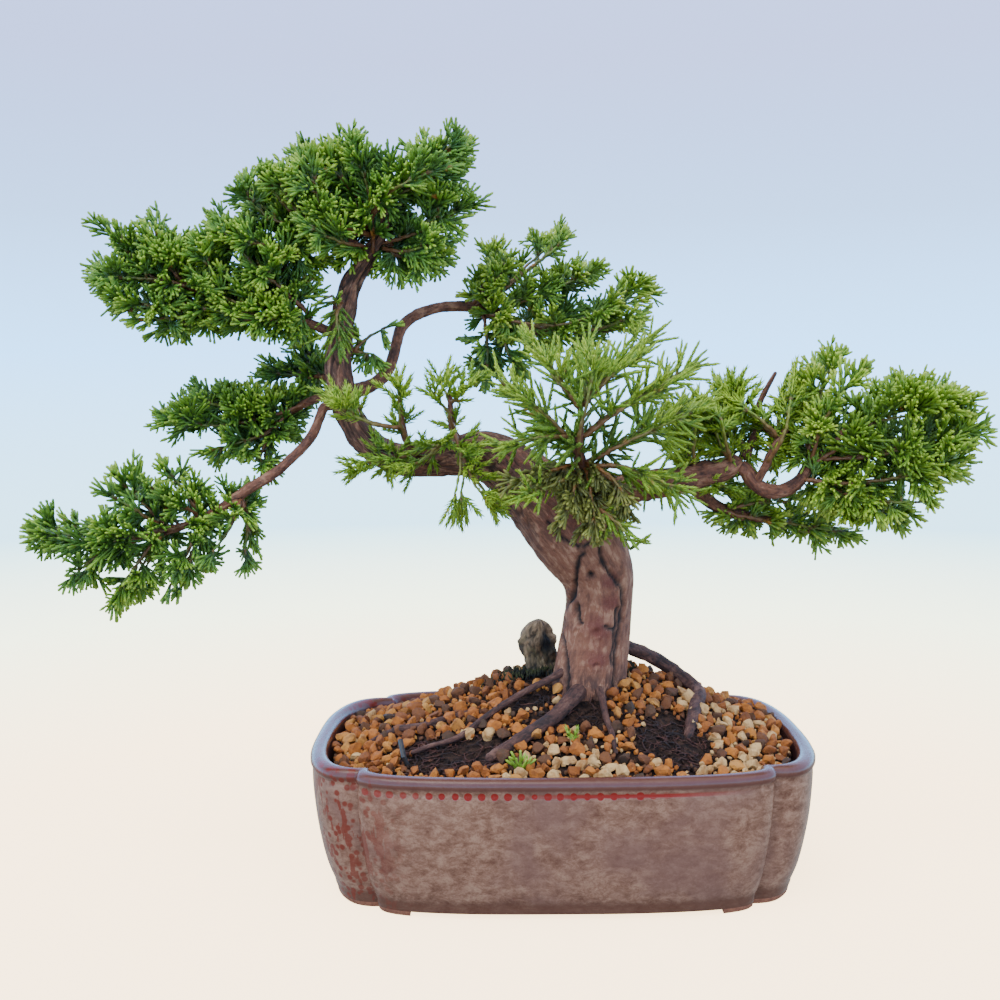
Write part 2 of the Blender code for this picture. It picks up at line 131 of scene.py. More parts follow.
def mix_colour(factor, first, second, blend="MIX"):
    return add_node(tree_of(factor, first, second), "Mix", data_type="RGBA", blend_type=blend, i0=factor,
                    i6=first, i7=second).outputs[2]


def maths(operation, first, second=0.0, third=0.5):
    return add_node(tree_of(first, second, third), "Math", operation=operation, i0=first, i1=second,
                    i2=third).outputs[0]


def times(first, second):
    return maths("MULTIPLY", first, second)


def plus(first, second):
    return maths("ADD", first, second)


def inverse(value):
    return maths("SUBTRACT", 1.0, value)


def place_of(material, scale=(1.0, 1.0, 1.0), attribute=None):
    """Object coordinates in metres, or a stored attribute, stretched by scale."""
    if attribute:
        source = add_node(material, "Attribute", attribute_name=attribute).outputs["Vector"]
    else:
        source = add_node(material, "TexCoord").outputs["Object"]
    return add_node(material, "Mapping", Vector=source, Scale=scale).outputs["Vector"]


def stored(material, name):
    """A number stored on the piece's points."""
    return add_node(material, "Attribute", attribute_name=name).outputs["Fac"]


def noise_at(place, scale, detail=3.0, roughness=0.55, distortion=0.0):
    return add_node(tree_of(place), "TexNoise", Vector=place, Scale=scale, Detail=detail, Roughness=roughness,
                    Distortion=distortion).outputs["Fac"]


def bump(shader, height, strength, distance):
    node = add_node(shader.id_data, "Bump", Height=height, Strength=strength, Distance=distance)
    link(node.outputs["Normal"], shader.inputs["Normal"])


GLOW = 4.5  # the paper is lit from behind: cream by the pot, paler with distance, blue higher up the wall
PAPER_REACH = 2.0
PAPER_COLOURS = [(0.10, (1.0, 0.74, 0.44)), (0.25, (0.72, 0.80, 0.58)), (0.42, (0.40, 0.62, 0.62)),
                 (0.55, (0.20, 0.48, 0.66)), (0.66, (0.09, 0.40, 0.84)), (0.77, (0.10, 0.24, 0.50)),
                 (0.90, (0.12, 0.18, 0.40))]
FLOOR_RADIUS = 1.1
WALL_BEND = 0.6
WALL_HEIGHT = 2.6
BEND_STEPS, STEPS = 12, 16

backdrop, backdrop_shader = start_material("studio paper", 0.95)
spread = add_node(backdrop, "SeparateXYZ", Vector=add_node(backdrop, "TexCoord").outputs["Object"])
far = maths("SQRT", plus(maths("POWER", spread.outputs["X"], 2.0), maths("POWER", spread.outputs["Y"], 2.0)))
reach = plus(maths("MINIMUM", far, FLOOR_RADIUS), spread.outputs["Z"])
paper = colour_ramp(times(reach, 1 / PAPER_REACH), PAPER_COLOURS)
link(mix_colour(0.5, paper, (0.70, 0.68, 0.64)), backdrop_shader.inputs["Base Color"])
link(paper, backdrop_shader.inputs["Emission Color"])
backdrop_shader.inputs["Emission Strength"].default_value = GLOW
backdrop_shader.inputs["Specular IOR Level"].default_value = 0.0

bpy.ops.object.select_all(action="DESELECT")
bpy.ops.mesh.primitive_circle_add(vertices=96, radius=FLOOR_RADIUS, fill_type="TRIFAN")
floor = bpy.context.object
floor.name = "studio_floor"
bpy.ops.mesh.primitive_circle_add(vertices=96, radius=FLOOR_RADIUS, fill_type="NOTHING")
wall = bpy.context.object
wall.name = "studio_wall"
bpy.ops.object.mode_set(mode="EDIT")
bpy.ops.mesh.select_all(action="SELECT")
reach, rise = FLOOR_RADIUS, 0.0
for step in range(1, STEPS + 1):
    angle = math.pi / 2 * min(step, BEND_STEPS) / BEND_STEPS
    further = FLOOR_RADIUS + WALL_BEND * math.sin(angle)
    higher = WALL_BEND * (1 - math.cos(angle))
    if step > BEND_STEPS:
        higher = WALL_BEND + (WALL_HEIGHT - WALL_BEND) * (step - BEND_STEPS) / (STEPS - BEND_STEPS)
    bpy.ops.mesh.extrude_region_move(TRANSFORM_OT_translate={"value": (0, 0, higher - rise)})
    bpy.ops.transform.resize(value=(further / reach, further / reach, 1), center_override=(0, 0, higher))
    reach, rise = further, higher
bpy.ops.mesh.select_all(action="SELECT")
bpy.ops.mesh.normals_make_consistent(inside=True)
bpy.ops.object.mode_set(mode="OBJECT")
for sheet in (floor, wall):
    sheet.data.materials.append(backdrop)
    sheet.data.shade_smooth()
    sheet.visible_diffuse = False
floor.visible_glossy = False
wall.visible_shadow = False

world = bpy.data.worlds.new("studio")
bpy.context.scene.world = world
world.use_nodes = True
overhead = add_node(world, "SeparateXYZ", Vector=add_node(world, "TexCoord").outputs["Generated"]).outputs["Z"]
SKY_COLOURS = [(0.25, (0.42, 0.42, 0.42)), (0.8, (0.95, 0.98, 1.0))]  # below the horizon, then overhead
sky = world.node_tree.nodes["Background"]
link(colour_ramp(maths("MULTIPLY_ADD", overhead, 0.5), SKY_COLOURS), sky.inputs["Color"])
sky.inputs["Strength"].default_value = 1.3


def add_sun(name, strength, softness, direction, colour):
    lamp = bpy.data.lights.new(name, "SUN")
    lamp.energy = strength
    lamp.angle = math.radians(softness)
    lamp.color = colour
    holder = bpy.data.objects.new(name, lamp)
    bpy.context.scene.collection.objects.link(holder)
    holder.rotation_euler = Vector(direction).to_track_quat("-Z", "Y").to_euler()


add_sun("key light", 2.2, 50, (0.55, 0.75, -1.3), (1.0, 0.98, 0.95))
add_sun("fill light", 0.5, 70, (-0.9, 0.5, -0.5), (0.95, 0.98, 1.0))

CAMERA_PLACE = (0.0003, -0.4004, 0.1519)
CAMERA_PITCH, CAMERA_ROLL = math.radians(4.76), math.radians(-0.46)
lens = bpy.data.cameras.new("camera")
lens.lens = 44.82
lens.sensor_width = 36.0
camera = bpy.data.objects.new("camera", lens)
bpy.context.scene.collection.objects.link(camera)
camera.matrix_world = (Matrix.Translation(CAMERA_PLACE) @ Matrix.Rotation(math.pi / 2 - CAMERA_PITCH, 4, "X")
                       @ Matrix.Rotation(CAMERA_ROLL, 4, "Z"))
bpy.context.scene.camera = camera


# ---------------------------------------------------------------- pot
# An oblong stoneware pot with four notched corners, pulled thick-walled and glazed mauve brown.
# Iron shows through as red dots under the rim and as speckles; the foot is bare red clay.
pot_low, pot_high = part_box("pot")
POT_X = pot_low.x / 2 + pot_high.x / 2
HALF_LENGTH = (pot_high.x - pot_low.x) / 2
HALF_DEPTH = (pot_high.y - pot_low.y) / 2
LOBE_POINTS = 52
NOTCH = (0.776, 0.797)  # share of the half length and depth where a corner notch lies
ROUNDNESS = 2.7
RIM_TOP = pot_high.z / MM
RIM_TURN = 42.5  # height where the wall turns over into the rim
FLOOR_INSET, FLOOR_UNDERSIDE = 17.6, 3.4
FOOT_HEIGHT, FLOOR_TOP = 1.6, 7.0
# inset from the outline and height, up the outside and then down the inside
POT_OUTSIDE = [(15.8, 0.0), (7.6, 0.0), (7.15, 0.5), (6.9, FOOT_HEIGHT), (6.35, 3.2), (6.35, 3.9), (5.7, 5.6),
               (4.2, 10.0), (2.8, 16.5), (1.6, 24.0), (0.85, 32.0), (0.6, 37.4), (0.75, 39.4), (0.25, 40.3),
               (0.0, 40.9), (0.0, 41.8), (0.45, 42.7), (1.3, 43.35), (2.8, RIM_TOP), (3.9, 43.3), (4.7, RIM_TURN)]
POT_INSIDE = [(5.1, 41.2), (5.35, 39.0), (6.2, 28.0), (8.4, 16.0), (11.8, 9.2), (16.0, FLOOR_TOP)]


def smooth_route(route, spacing):
    """Points about spacing apart (millimetres) on a smooth curve through the route's points."""
    route = np.array(route, float)
    ends = np.vstack([2 * route[0] - route[1], route, 2 * route[-1] - route[-2]])
    points = []
    for i in range(len(route) - 1):
        a, b, c, d = ends[i:i + 4]
        steps = max(1, round(float(np.linalg.norm(c[:3] - b[:3])) / spacing))
        for t in np.arange(steps) / steps:
            points.append(0.5 * (2 * b + (c - a) * t + (2 * a - 5 * b + 4 * c - d) * t ** 2
                                 + (3 * b - a - 3 * c + d) * t ** 3))
    points.append(route[-1])
    return np.array(points)


def lobed_point(share, side, half_length, half_depth):
    """A point of the pot's outline; share runs 0 to 1 along one of the four lobes."""
    along, base = (NOTCH[0] * half_length, NOTCH[1] * half_depth)
    bulge = half_depth - base
    if side % 2:
        along, base, bulge = NOTCH[1] * half_depth, NOTCH[0] * half_length, half_length * (1 - NOTCH[0])
    angle = math.pi * share
    across = math.copysign(abs(math.cos(angle)) ** (2 / ROUNDNESS), math.cos(angle))
    out = math.sin(angle) ** (2 / ROUNDNESS)
    return Matrix.Rotation(side * math.pi / 2, 2) @ Vector((-along * across, -base - bulge * out))


bpy.ops.object.select_all(action="DESELECT")
bpy.ops.mesh.primitive_circle_add(vertices=4 * LOBE_POINTS, radius=HALF_DEPTH, fill_type="NGON",
                                  location=(POT_X, 0, FLOOR_UNDERSIDE * MM))
pot = bpy.context.object
pot.name = "glazed_pot"
bpy.ops.object.transform_apply(location=True, rotation=True, scale=True)
for i, corner in enumerate(pot.data.vertices):
    spot = lobed_point(i % LOBE_POINTS / LOBE_POINTS, i // LOBE_POINTS, HALF_LENGTH - FLOOR_INSET * MM,
                       HALF_DEPTH - FLOOR_INSET * MM)
    corner.co.xy = spot.x + POT_X, spot.y
outer_line = smooth_route([(inset, 0, z) for inset, z in POT_OUTSIDE], 1.3)[:, (0, 2)].tolist()
inner_line = smooth_route([(inset, 0, z) for inset, z in POT_OUTSIDE[-1:] + POT_INSIDE], 2.0)[1:, (0, 2)].tolist()
bpy.ops.object.mode_set(mode="EDIT")
bpy.ops.mesh.select_all(action="SELECT")
inset, level = FLOOR_INSET, FLOOR_UNDERSIDE
for next_inset, next_level in outer_line + inner_line:
    bpy.ops.mesh.extrude_region_move(TRANSFORM_OT_translate={"value": (0, 0, (next_level - level) * MM)})
    bpy.ops.transform.resize(value=((HALF_LENGTH - next_inset * MM) / (HALF_LENGTH - inset * MM),
                                    (HALF_DEPTH - next_inset * MM) / (HALF_DEPTH - inset * MM), 1),
                             center_override=(POT_X, 0, 0))
    inset, level = next_inset, next_level
bpy.ops.mesh.select_all(action="SELECT")
bpy.ops.mesh.normals_make_consistent(inside=False)
bpy.ops.object.mode_set(mode="OBJECT")
for corner in pot.data.vertices:
    throwing = noise.noise(corner.co * 22.0) * 0.30 + noise.noise(corner.co * 75.0) * 0.10
    if FOOT_HEIGHT * MM < corner.co.z < RIM_TURN * MM:
        outward = Vector((corner.co.x - POT_X, corner.co.y, 0)).normalized()
        corner.co += outward * throwing * MM
    elif corner.co.z > RIM_TURN * MM:
        corner.co.z += 0.5 * min(0, throwing) * MM


def cut_away(piece, centre_mm, size_mm, round_hole=False):
    """Cuts a block or a round hole out of a piece, as a potter does from leather-hard clay."""
    bpy.ops.object.select_all(action="DESELECT")
    if round_hole:
        bpy.ops.mesh.primitive_cylinder_add(vertices=48, radius=size_mm[0] * MM, depth=size_mm[2] * MM,
                                            location=[c * MM for c in centre_mm])
    else:
        bpy.ops.mesh.primitive_cube_add(size=MM, location=[c * MM for c in centre_mm], scale=size_mm)
    tool = bpy.context.object
    bpy.ops.object.transform_apply(location=True, rotation=True, scale=True)
    cutting = piece.modifiers.new("cut", "BOOLEAN")
    cutting.operation = "DIFFERENCE"
    cutting.object = tool
    bpy.context.view_layer.objects.active = piece
    bpy.ops.object.modifier_apply(modifier=cutting.name)
    bpy.data.objects.remove(tool)


for gap in ((92, 160), (220, 50)):  # between the feet, along the sides and across the ends
    cut_away(pot, (POT_X / MM, 0, 0), (*gap, 2 * FOOT_HEIGHT))
for side in (-1, 1):
    for out, radius in ((34, 7), (9, 2)):  # drain holes, then wire holes
        cut_away(pot, (POT_X / MM + side * out, 0, 5), (radius, radius, 12), round_hole=True)

mottle, given, made = start_group(
    "mottled surface", dict(Place="Vector", Scale="Float", Low="Float", High="Float", Dark="Color", Light="Color"),
    dict(Color="Color", Height="Float"))
field = add_node(mottle, "TexNoise", Vector=given["Place"], Scale=given["Scale"], Detail=5.0, Roughness=0.68)
amount = add_node(mottle, "MapRange", Value=field.outputs["Fac"], i1=given["Low"],
                  i2=given["High"]).outputs["Result"]
link(mix_colour(amount, given["Dark"], given["Light"]), made["Color"])
link(field.outputs["Fac"], made["Height"])


def mottled(name, roughness, scale, span, dark, light, strength, depth, stretch=(1.0, 1.0, 1.0)):
    """A material whose colour runs from dark to light in grains, with their relief."""
    material, shader = start_material(name, roughness)
    finish_with(shader, mottle, strength, depth, dict(
        Place=place_of(material, stretch), Scale=scale, Low=span[0], High=span[1], Dark=dark, Light=light))
    return material, shader


glaze, glaze_shader = start_material("mauve brown glaze", 0.3)
place = place_of(glaze)
across_pot = add_node(glaze, "SeparateXYZ", Vector=place)
px, py, pz = across_pot.outputs["X"], across_pot.outputs["Y"], across_pot.outputs["Z"]
broad = noise_at(place, 24.0, 4.0, 0.6, 0.4)
clouds = noise_at(place_of(glaze, (1.0, 1.0, 1.6)), 210.0, 8.0, 0.82, 0.3)
grains = noise_at(place, 900.0, 3.0, 0.7)
body = colour_ramp(clouds, [(0.36, (0.115, 0.050, 0.034)), (0.49, (0.235, 0.130, 0.098)),
                            (0.62, (0.37, 0.235, 0.185))])
body = mix_colour(times(value_ramp(broad, 0.48, 0.68), 0.7), body, (0.175, 0.095, 0.090))
body = mix_colour(times(value_ramp(grains, 0.52, 0.75), 0.35), body, (0.11, 0.06, 0.05))
rim_band = times(value_ramp(pz, 39.7 * MM, 40.8 * MM), 0.9)
body = mix_colour(rim_band, body, (0.105, 0.036, 0.030))
low_band = inverse(value_ramp(plus(pz, times(clouds, 2 * MM)), 5.2 * MM, 8.0 * MM))
body = mix_colour(times(low_band, 0.8), body, (0.085, 0.032, 0.022))
IRON_RED, DOT_RED = (0.17, 0.018, 0.008), (0.24, 0.007, 0.004)
spots = add_node(glaze, "TexVoronoi", Vector=place, Scale=400.0, Randomness=0.95)
spot_shape = inverse(value_ramp(spots.outputs["Distance"], 0.28, 0.46))
left_end = inverse(value_ramp(px, -50 * MM, -22 * MM))
rare = value_ramp(noise_at(place, 60.0, 3.0, 0.6), 0.66, 0.74)
streak_place = place_of(glaze, (1.0, 1.0, 0.35))
crowded = value_ramp(noise_at(streak_place, 120.0, 3.0, 0.6), 0.33, 0.46)
speckled = times(left_end, crowded)
speckled = maths("MAXIMUM", speckled, times(rare, 0.8))
iron = times(spot_shape, speckled)
blot_noise = noise_at(streak_place, 210.0, 4.0, 0.65)
blots = times(value_ramp(blot_noise, 0.535, 0.56), left_end)
iron = maths("MAXIMUM", iron, times(blots, 0.9))
DOT_PITCH, DOT_HEIGHT = 3.75, 38.6
turn = maths("SUBTRACT", maths("FRACT", times(px, 1 / (DOT_PITCH * MM))), 0.5)
turn = times(turn, DOT_PITCH * MM)
rise = maths("SUBTRACT", pz, DOT_HEIGHT * MM)
away = maths("SQRT", plus(maths("POWER", turn, 2.0), maths("POWER", rise, 2.0)))
size_drift = times(noise_at(place_of(glaze, (1.0, 0.0, 0.0)), 160.0, 2.0), 1.9 * MM)
dot_strength = plus(0.75, value_ramp(px, -25 * MM, -10 * MM))
dots = inverse(value_ramp(plus(away, size_drift), 1.75 * MM, 2.15 * MM))
in_row = times(value_ramp(px, -48 * MM, -44 * MM), inverse(value_ramp(px, 30 * MM, 55 * MM)))
front = inverse(value_ramp(py, -50 * MM, -40 * MM))
row = times(times(front, dot_strength), times(dots, in_row))
row = maths("MINIMUM", row, 1.0)
line_shape = inverse(value_ramp(maths("ABSOLUTE", rise), 0.25 * MM, 0.9 * MM))
line_reach = times(value_ramp(px, 0.0, 25 * MM), inverse(value_ramp(px, 45 * MM, 75 * MM)))
row = maths("MAXIMUM", row, times(times(line_shape, line_reach), front))
body = mix_colour(times(iron, 0.92), body, IRON_RED)
body = mix_colour(row, body, DOT_RED)
link(body, glaze_shader.inputs["Base Color"])
link(plus(0.1, times(clouds, 0.25)), glaze_shader.inputs["Roughness"])
skin = plus(times(clouds, 0.5), times(grains, 0.25))
bump(glaze_shader, maths("SUBTRACT", skin, times(row, 0.3)), 0.35, 0.0004)

inner_glaze, _ = mottled("maroon glaze inside", 0.32, 70.0, (0.3, 0.7), (0.035, 0.012, 0.012),
                         (0.10, 0.035, 0.03), 0.3, 0.0004)
clay, _ = mottled("bare red clay", 0.85, 700.0, (0.3, 0.7), (0.16, 0.055, 0.03), (0.33, 0.14, 0.085), 0.5, 0.0004)

pot.data.materials.clear()
for finish in (glaze, inner_glaze, clay):
    pot.data.materials.append(finish)
INSIDE, BARE = 1, 2
for face in pot.data.polygons:
    centre = face.center
    heading = Vector((centre.x - POT_X, centre.y, 0.0))
    facing_in = face.normal.dot(heading.normalized()) < -0.25
    near_rim = centre.z > 41.0 * MM
    if centre.z < 2.0 * MM or (face.normal.z < -0.7 and centre.z < 5 * MM):
        face.material_index = BARE
    elif (facing_in and not near_rim) or (centre.z < 12 * MM and face.normal.z > 0.2):
        face.material_index = INSIDE
pot.data.shade_smooth()
bpy.context.view_layer.objects.active = pot
pot.select_set(True)
bpy.ops.object.shade_smooth_by_angle(angle=math.radians(38))
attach(pot, "root")
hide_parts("pot")


# ---------------------------------------------------------------- drainage and tie wire
# Black plastic mesh squares over the drain holes, held by bent aluminium wire, and the black
# plastic-coated wire that ties the root ball down; its end stands up at the front left.
black_plastic, _ = mottled("black plastic", 0.45, 600.0, (0.3, 0.8), (0.012, 0.012, 0.013),
                           (0.045, 0.045, 0.05), 0.2, 0.0002)
bare_wire, wire_shader = mottled("aluminium wire", 0.35, 900.0, (0.3, 0.7), (0.42, 0.41, 0.39),
                                 (0.66, 0.65, 0.62), 0.15, 0.0001, (0.2, 1.0, 1.0))
wire_shader.inputs["Metallic"].default_value = 1.0
for name, finish in (("drainage_mesh_left", black_plastic), ("drainage_mesh_right", black_plastic),
                     ("tie_down_wire", black_plastic), ("mesh_clip_left", bare_wire),
                     ("mesh_clip_right", bare_wire)):
    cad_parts[name].data.materials.clear()
    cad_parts[name].data.materials.append(finish)


# ---------------------------------------------------------------- ground
# Dark fibrous soil heaped under the trunk, dressed with ochre and brown pumice and clay grit that
# was washed off in two places at the front, where fine red roots show.
MOUND_TOP, MOUND_EDGE, MOUND_RISE = (28.0, 14.0), 36.0, 27.0


def unit(vectors):
    return vectors / np.maximum(np.linalg.norm(vectors, axis=-1, keepdims=True), 1e-12)


def mesh_piece(name, points_mm, triangles, material, attributes=None, smooth=True):
    """One object from millimetre points and triangles, with float or vector attributes on its points."""
    mesh = bpy.data.meshes.new(name)
    mesh.vertices.add(len(points_mm))
    mesh.vertices.foreach_set("co", (np.asarray(points_mm, np.float32) * MM).ravel())
    mesh.loops.add(3 * len(triangles))
    mesh.loops.foreach_set("vertex_index", np.asarray(triangles, np.int32).ravel())
    mesh.polygons.add(len(triangles))
    mesh.polygons.foreach_set("loop_start", np.arange(len(triangles), dtype=np.int32) * 3)
    mesh.polygons.foreach_set("use_smooth", np.full(len(triangles), smooth))
    for key, values in (attributes or {}).items():
        values = np.asarray(values, np.float32)
        kind, field = ("FLOAT_VECTOR", "vector") if values.ndim == 2 else ("FLOAT", "value")
        mesh.attributes.new(key, kind, "POINT").data.foreach_set(field, values.ravel())
    mesh.update(calc_edges=True)
    mesh.validate()
    mesh.materials.append(material)
    piece = bpy.data.objects.new(name, mesh)
    bpy.context.scene.collection.objects.link(piece)
    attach(piece, "root")
    return piece


def loft_triangles(rings, around):
    """Triangles of a closed loft: rings of points, then one point for each end."""
    index = np.arange(rings * around).reshape(rings, around)
    low, high = index[:-1], index[1:]
    a, b = low.ravel(), np.roll(low, -1, axis=1).ravel()
    c, d = np.roll(high, -1, axis=1).ravel(), high.ravel()
    start, stop = rings * around, rings * around + 1
    first, last = index[0], index[-1]
    return np.vstack([
        np.stack([a, b, c], 1), np.stack([a, c, d], 1),
        np.stack([np.full(around, start), np.roll(first, -1), first], 1),
        np.stack([np.full(around, stop), last, np.roll(last, -1)], 1),
    ])


def rumple(places, scale, seed=0.0):
    """Smooth noise from -1 to 1 at each place; scale is the size of its lumps in millimetres."""
    scale = np.broadcast_to(np.array(scale, float), (3,))
    return np.array([noise.noise(Vector(place)) for place in places / scale + seed])


def mound_height(x, y):
    """Height of the gravel's surface in millimetres."""
    spread_x = np.where(x < MOUND_TOP[0], 44.0, 40.0)
    spread_y = np.where(y < MOUND_TOP[1], 34.0, 22.0)
    away = ((x - MOUND_TOP[0]) / spread_x) ** 2 + ((y - MOUND_TOP[1]) / spread_y) ** 2
    return MOUND_EDGE + MOUND_RISE * np.exp(-away / 2)


def pot_ring(inset_mm, level, count=LOBE_POINTS):
    half = HALF_LENGTH / MM - inset_mm, HALF_DEPTH / MM - inset_mm
    spots = [lobed_point(i % count / count, i // count, *half) for i in range(4 * count)]
    return np.array([(spot.x + POT_X / MM, spot.y, level) for spot in spots])


# middle and half size of each bare patch
BARE_SOIL = [((-13, -29), (17, 10)), ((53, -27), (11.5, 13)), ((21, -19), (13, 5)), ((-27, -20), (11, 3)),
             ((8, -8), (9, 5)), ((14, 6), (9, 7)), ((27, -13), (8, 4))]


def bareness(x, y):
    """1 in the bare patches, falling to 0 just outside them."""
    best = np.zeros(np.shape(x))
    for (cx, cy), (rx, ry) in BARE_SOIL:
        best = np.maximum(best, 1.35 - ((x - cx) / rx) ** 2 - ((y - cy) / ry) ** 2)
    return np.clip(best, 0, 1)


soil_earth, soil_shader = mottled("dark soil", 0.95, 520.0, (0.38, 0.78), (0.009, 0.005, 0.004),
                                  (0.085, 0.045, 0.03), 1.0, 0.0012)
soil_shader.inputs["Specular IOR Level"].default_value = 0.25

SOIL_RINGS, SOIL_GAP, GRIT_DEPTH = 64, 0.5, 2.0
rings = [pot_ring(inset + SOIL_GAP, level + SOIL_GAP) for inset, level in reversed(POT_INSIDE[2:])]
edge = pot_ring(POT_INSIDE[2][0] + SOIL_GAP, 0.0)
for step in range(SOIL_RINGS):
    share = 1.0 - step / SOIL_RINGS * 0.985
    ring = edge.copy()
    ring[:, 0] = MOUND_TOP[0] + (edge[:, 0] - MOUND_TOP[0]) * share
    ring[:, 1] = MOUND_TOP[1] + (edge[:, 1] - MOUND_TOP[1]) * share
    rough = rumple(ring, 6.0, 1.0) * 0.7 + rumple(ring, 1.9, 5.0) * 0.55
    ring[:, 2] = mound_height(ring[:, 0], ring[:, 1]) - GRIT_DEPTH + rough
    rings.append(ring)
ends = [(POT_X / MM, 0, FLOOR_TOP + SOIL_GAP), (*MOUND_TOP, MOUND_EDGE + MOUND_RISE - GRIT_DEPTH)]
soil = mesh_piece("potting_soil", np.vstack(rings + [ends]),
                  loft_triangles(len(rings), 4 * LOBE_POINTS)[:, ::-1], soil_earth)
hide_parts("soil")


def stone_shape(random):
    """A pebble of 80 faces, flattened and worn against random planes."""
    bpy.ops.object.select_all(action="DESELECT")
    bpy.ops.mesh.primitive_ico_sphere_add(subdivisions=2, radius=1.0)
    pebble = bpy.context.object
    bpy.ops.object.mode_set(mode="EDIT")
    bpy.ops.mesh.select_all(action="SELECT")
    bpy.ops.mesh.quads_convert_to_tris()
    bpy.ops.transform.resize(value=(1.0, random.uniform(0.72, 0.95), random.uniform(0.55, 0.8)))
    bpy.ops.object.mode_set(mode="OBJECT")
    points = np.array([corner.co for corner in pebble.data.vertices])
    faces = np.array([face.vertices for face in pebble.data.polygons])
    bpy.data.objects.remove(pebble)
    for _ in range(12):
        facing = unit(random.normal(size=3))
        reach = points @ facing
        points -= np.outer(np.maximum(0, reach - reach.max() * random.uniform(0.5, 0.8)), facing) * 0.97
    points *= 1 + 0.09 * rumple(points, 0.8, random.uniform(0, 50))[:, None]
    return points / np.abs(points).max(), faces


def random_turns(random, count):
    """Random rotation matrices, one for each of count pieces."""
    q = unit(random.normal(size=(count, 4)))
    w, x, y, z = q.T
    return np.stack([1 - 2 * (y * y + z * z), 2 * (x * y - z * w), 2 * (x * z + y * w),
                     2 * (x * y + z * w), 1 - 2 * (x * x + z * z), 2 * (y * z - x * w),
                     2 * (x * z - y * w), 2 * (y * z + x * w), 1 - 2 * (x * x + y * y)], 1).reshape(count, 3, 3)


def inside_pot(x, y, inset_mm):
    """Whether a place is inside the pot's outline at that inset."""
    ring = pot_ring(inset_mm, 0.0)
    angles = np.arctan2(ring[:, 1], ring[:, 0] - POT_X / MM)
    order = np.argsort(angles)
    reach = np.hypot(ring[:, 0] - POT_X / MM, ring[:, 1])
    limit = np.interp(np.arctan2(y, x - POT_X / MM), angles[order], reach[order], period=2 * math.pi)
    return np.hypot(x - POT_X / MM, y) < limit


TRIES, CELL, CROWDING = 60000, 5, 0.79
TRUNK_FOOT, TRUNK_CLEARANCE = (28, 2), 13.5


def scatter(random, count, smallest, largest):
    """Grains of mixed sizes on the mound that hardly overlap: x, y and radius."""
    cells, kept = {}, []
    sizes = np.sort(random.uniform(smallest, largest, size=count))[::-1]
    spots = np.stack([random.uniform(-60, 98, TRIES), random.uniform(-57, 57, TRIES)], 1)
    off_trunk = np.hypot(spots[:, 0] - TRUNK_FOOT[0], spots[:, 1] - TRUNK_FOOT[1]) > TRUNK_CLEARANCE
    for x, y in spots[inside_pot(spots[:, 0], spots[:, 1], 7.0) & off_trunk]:
        if len(kept) >= count:
            break
        size = sizes[len(kept)]
        column, line = int(x // CELL), int(y // CELL)
        near = [grain for i in range(column - 1, column + 2) for j in range(line - 1, line + 2)
                for grain in cells.get((i, j), ())]
        if all((x - ox) ** 2 + (y - oy) ** 2 >= (CROWDING * (size + other)) ** 2 for ox, oy, other in near):
            cells.setdefault((column, line), []).append((x, y, size))
            kept.append((x, y, size))
    return np.array(kept)


grit = np.random.RandomState(7)
STONES = [stone_shape(grit) for _ in range(12)]
gravel_stone, stone_shader = start_material("ochre gravel", 0.85)
place = place_of(gravel_stone)
pores = noise_at(place, 1100.0, 4.0, 0.7)
stains = noise_at(place, 330.0, 3.0, 0.6)
ochre = colour_ramp(stored(gravel_stone, "hue"), [
    (0.0, (0.050, 0.030, 0.016)), (0.12, (0.095, 0.042, 0.014)), (0.28, (0.21, 0.068, 0.011)),
    (0.5, (0.42, 0.135, 0.014)), (0.78, (0.50, 0.180, 0.018)), (1.0, (0.56, 0.28, 0.06))])
ochre = mix_colour(times(value_ramp(stains, 0.45, 0.7), 0.6), ochre, (0.13, 0.04, 0.010))
cream = mix_colour(value_ramp(stains, 0.4, 0.7), (0.64, 0.44, 0.21), (0.40, 0.20, 0.06))
ochre = mix_colour(stored(gravel_stone, "pallor"), ochre, cream)
ochre = mix_colour(times(value_ramp(pores, 0.55, 0.75), 0.4), ochre, (0.05, 0.022, 0.010))
link(ochre, stone_shader.inputs["Base Color"])
bump(stone_shader, plus(pores, stains), 0.8, 0.0005)


def lay_stones(name, material, random, places, lift, pale_share):
    """One piece made of loose stones lying on the mound at places (x, y, radius)."""
    points, triangles, hue, pallor, count = [], [], [], [], 0
    turns = random_turns(random, len(places))
    for turn, (x, y, size) in zip(turns, places):
        shape, faces = STONES[random.randint(len(STONES))]
        shape = shape * size @ turn.T
        z = float(mound_height(x, y)) - 1.4 + lift * size
        points.append(shape + (x, y, z))
        triangles.append(faces + count)
        count += len(shape)
        hue.append(np.full(len(shape), random.uniform()))
        pallor.append(np.full(len(shape), 1.0 if random.uniform() < pale_share(x, y) else 0.0))
    return mesh_piece(name, np.vstack(points), np.vstack(triangles), material,
                      {"hue": np.concatenate(hue), "pallor": np.concatenate(pallor)}, smooth=False)


def pale_share(x, y):
    """Cream pumice lies mostly along the front and at the right end."""
    if y < -28 and -2 < x < 38:
        return 0.42
    if x > 58 and y < 4:
        return 0.4
    return 0.06


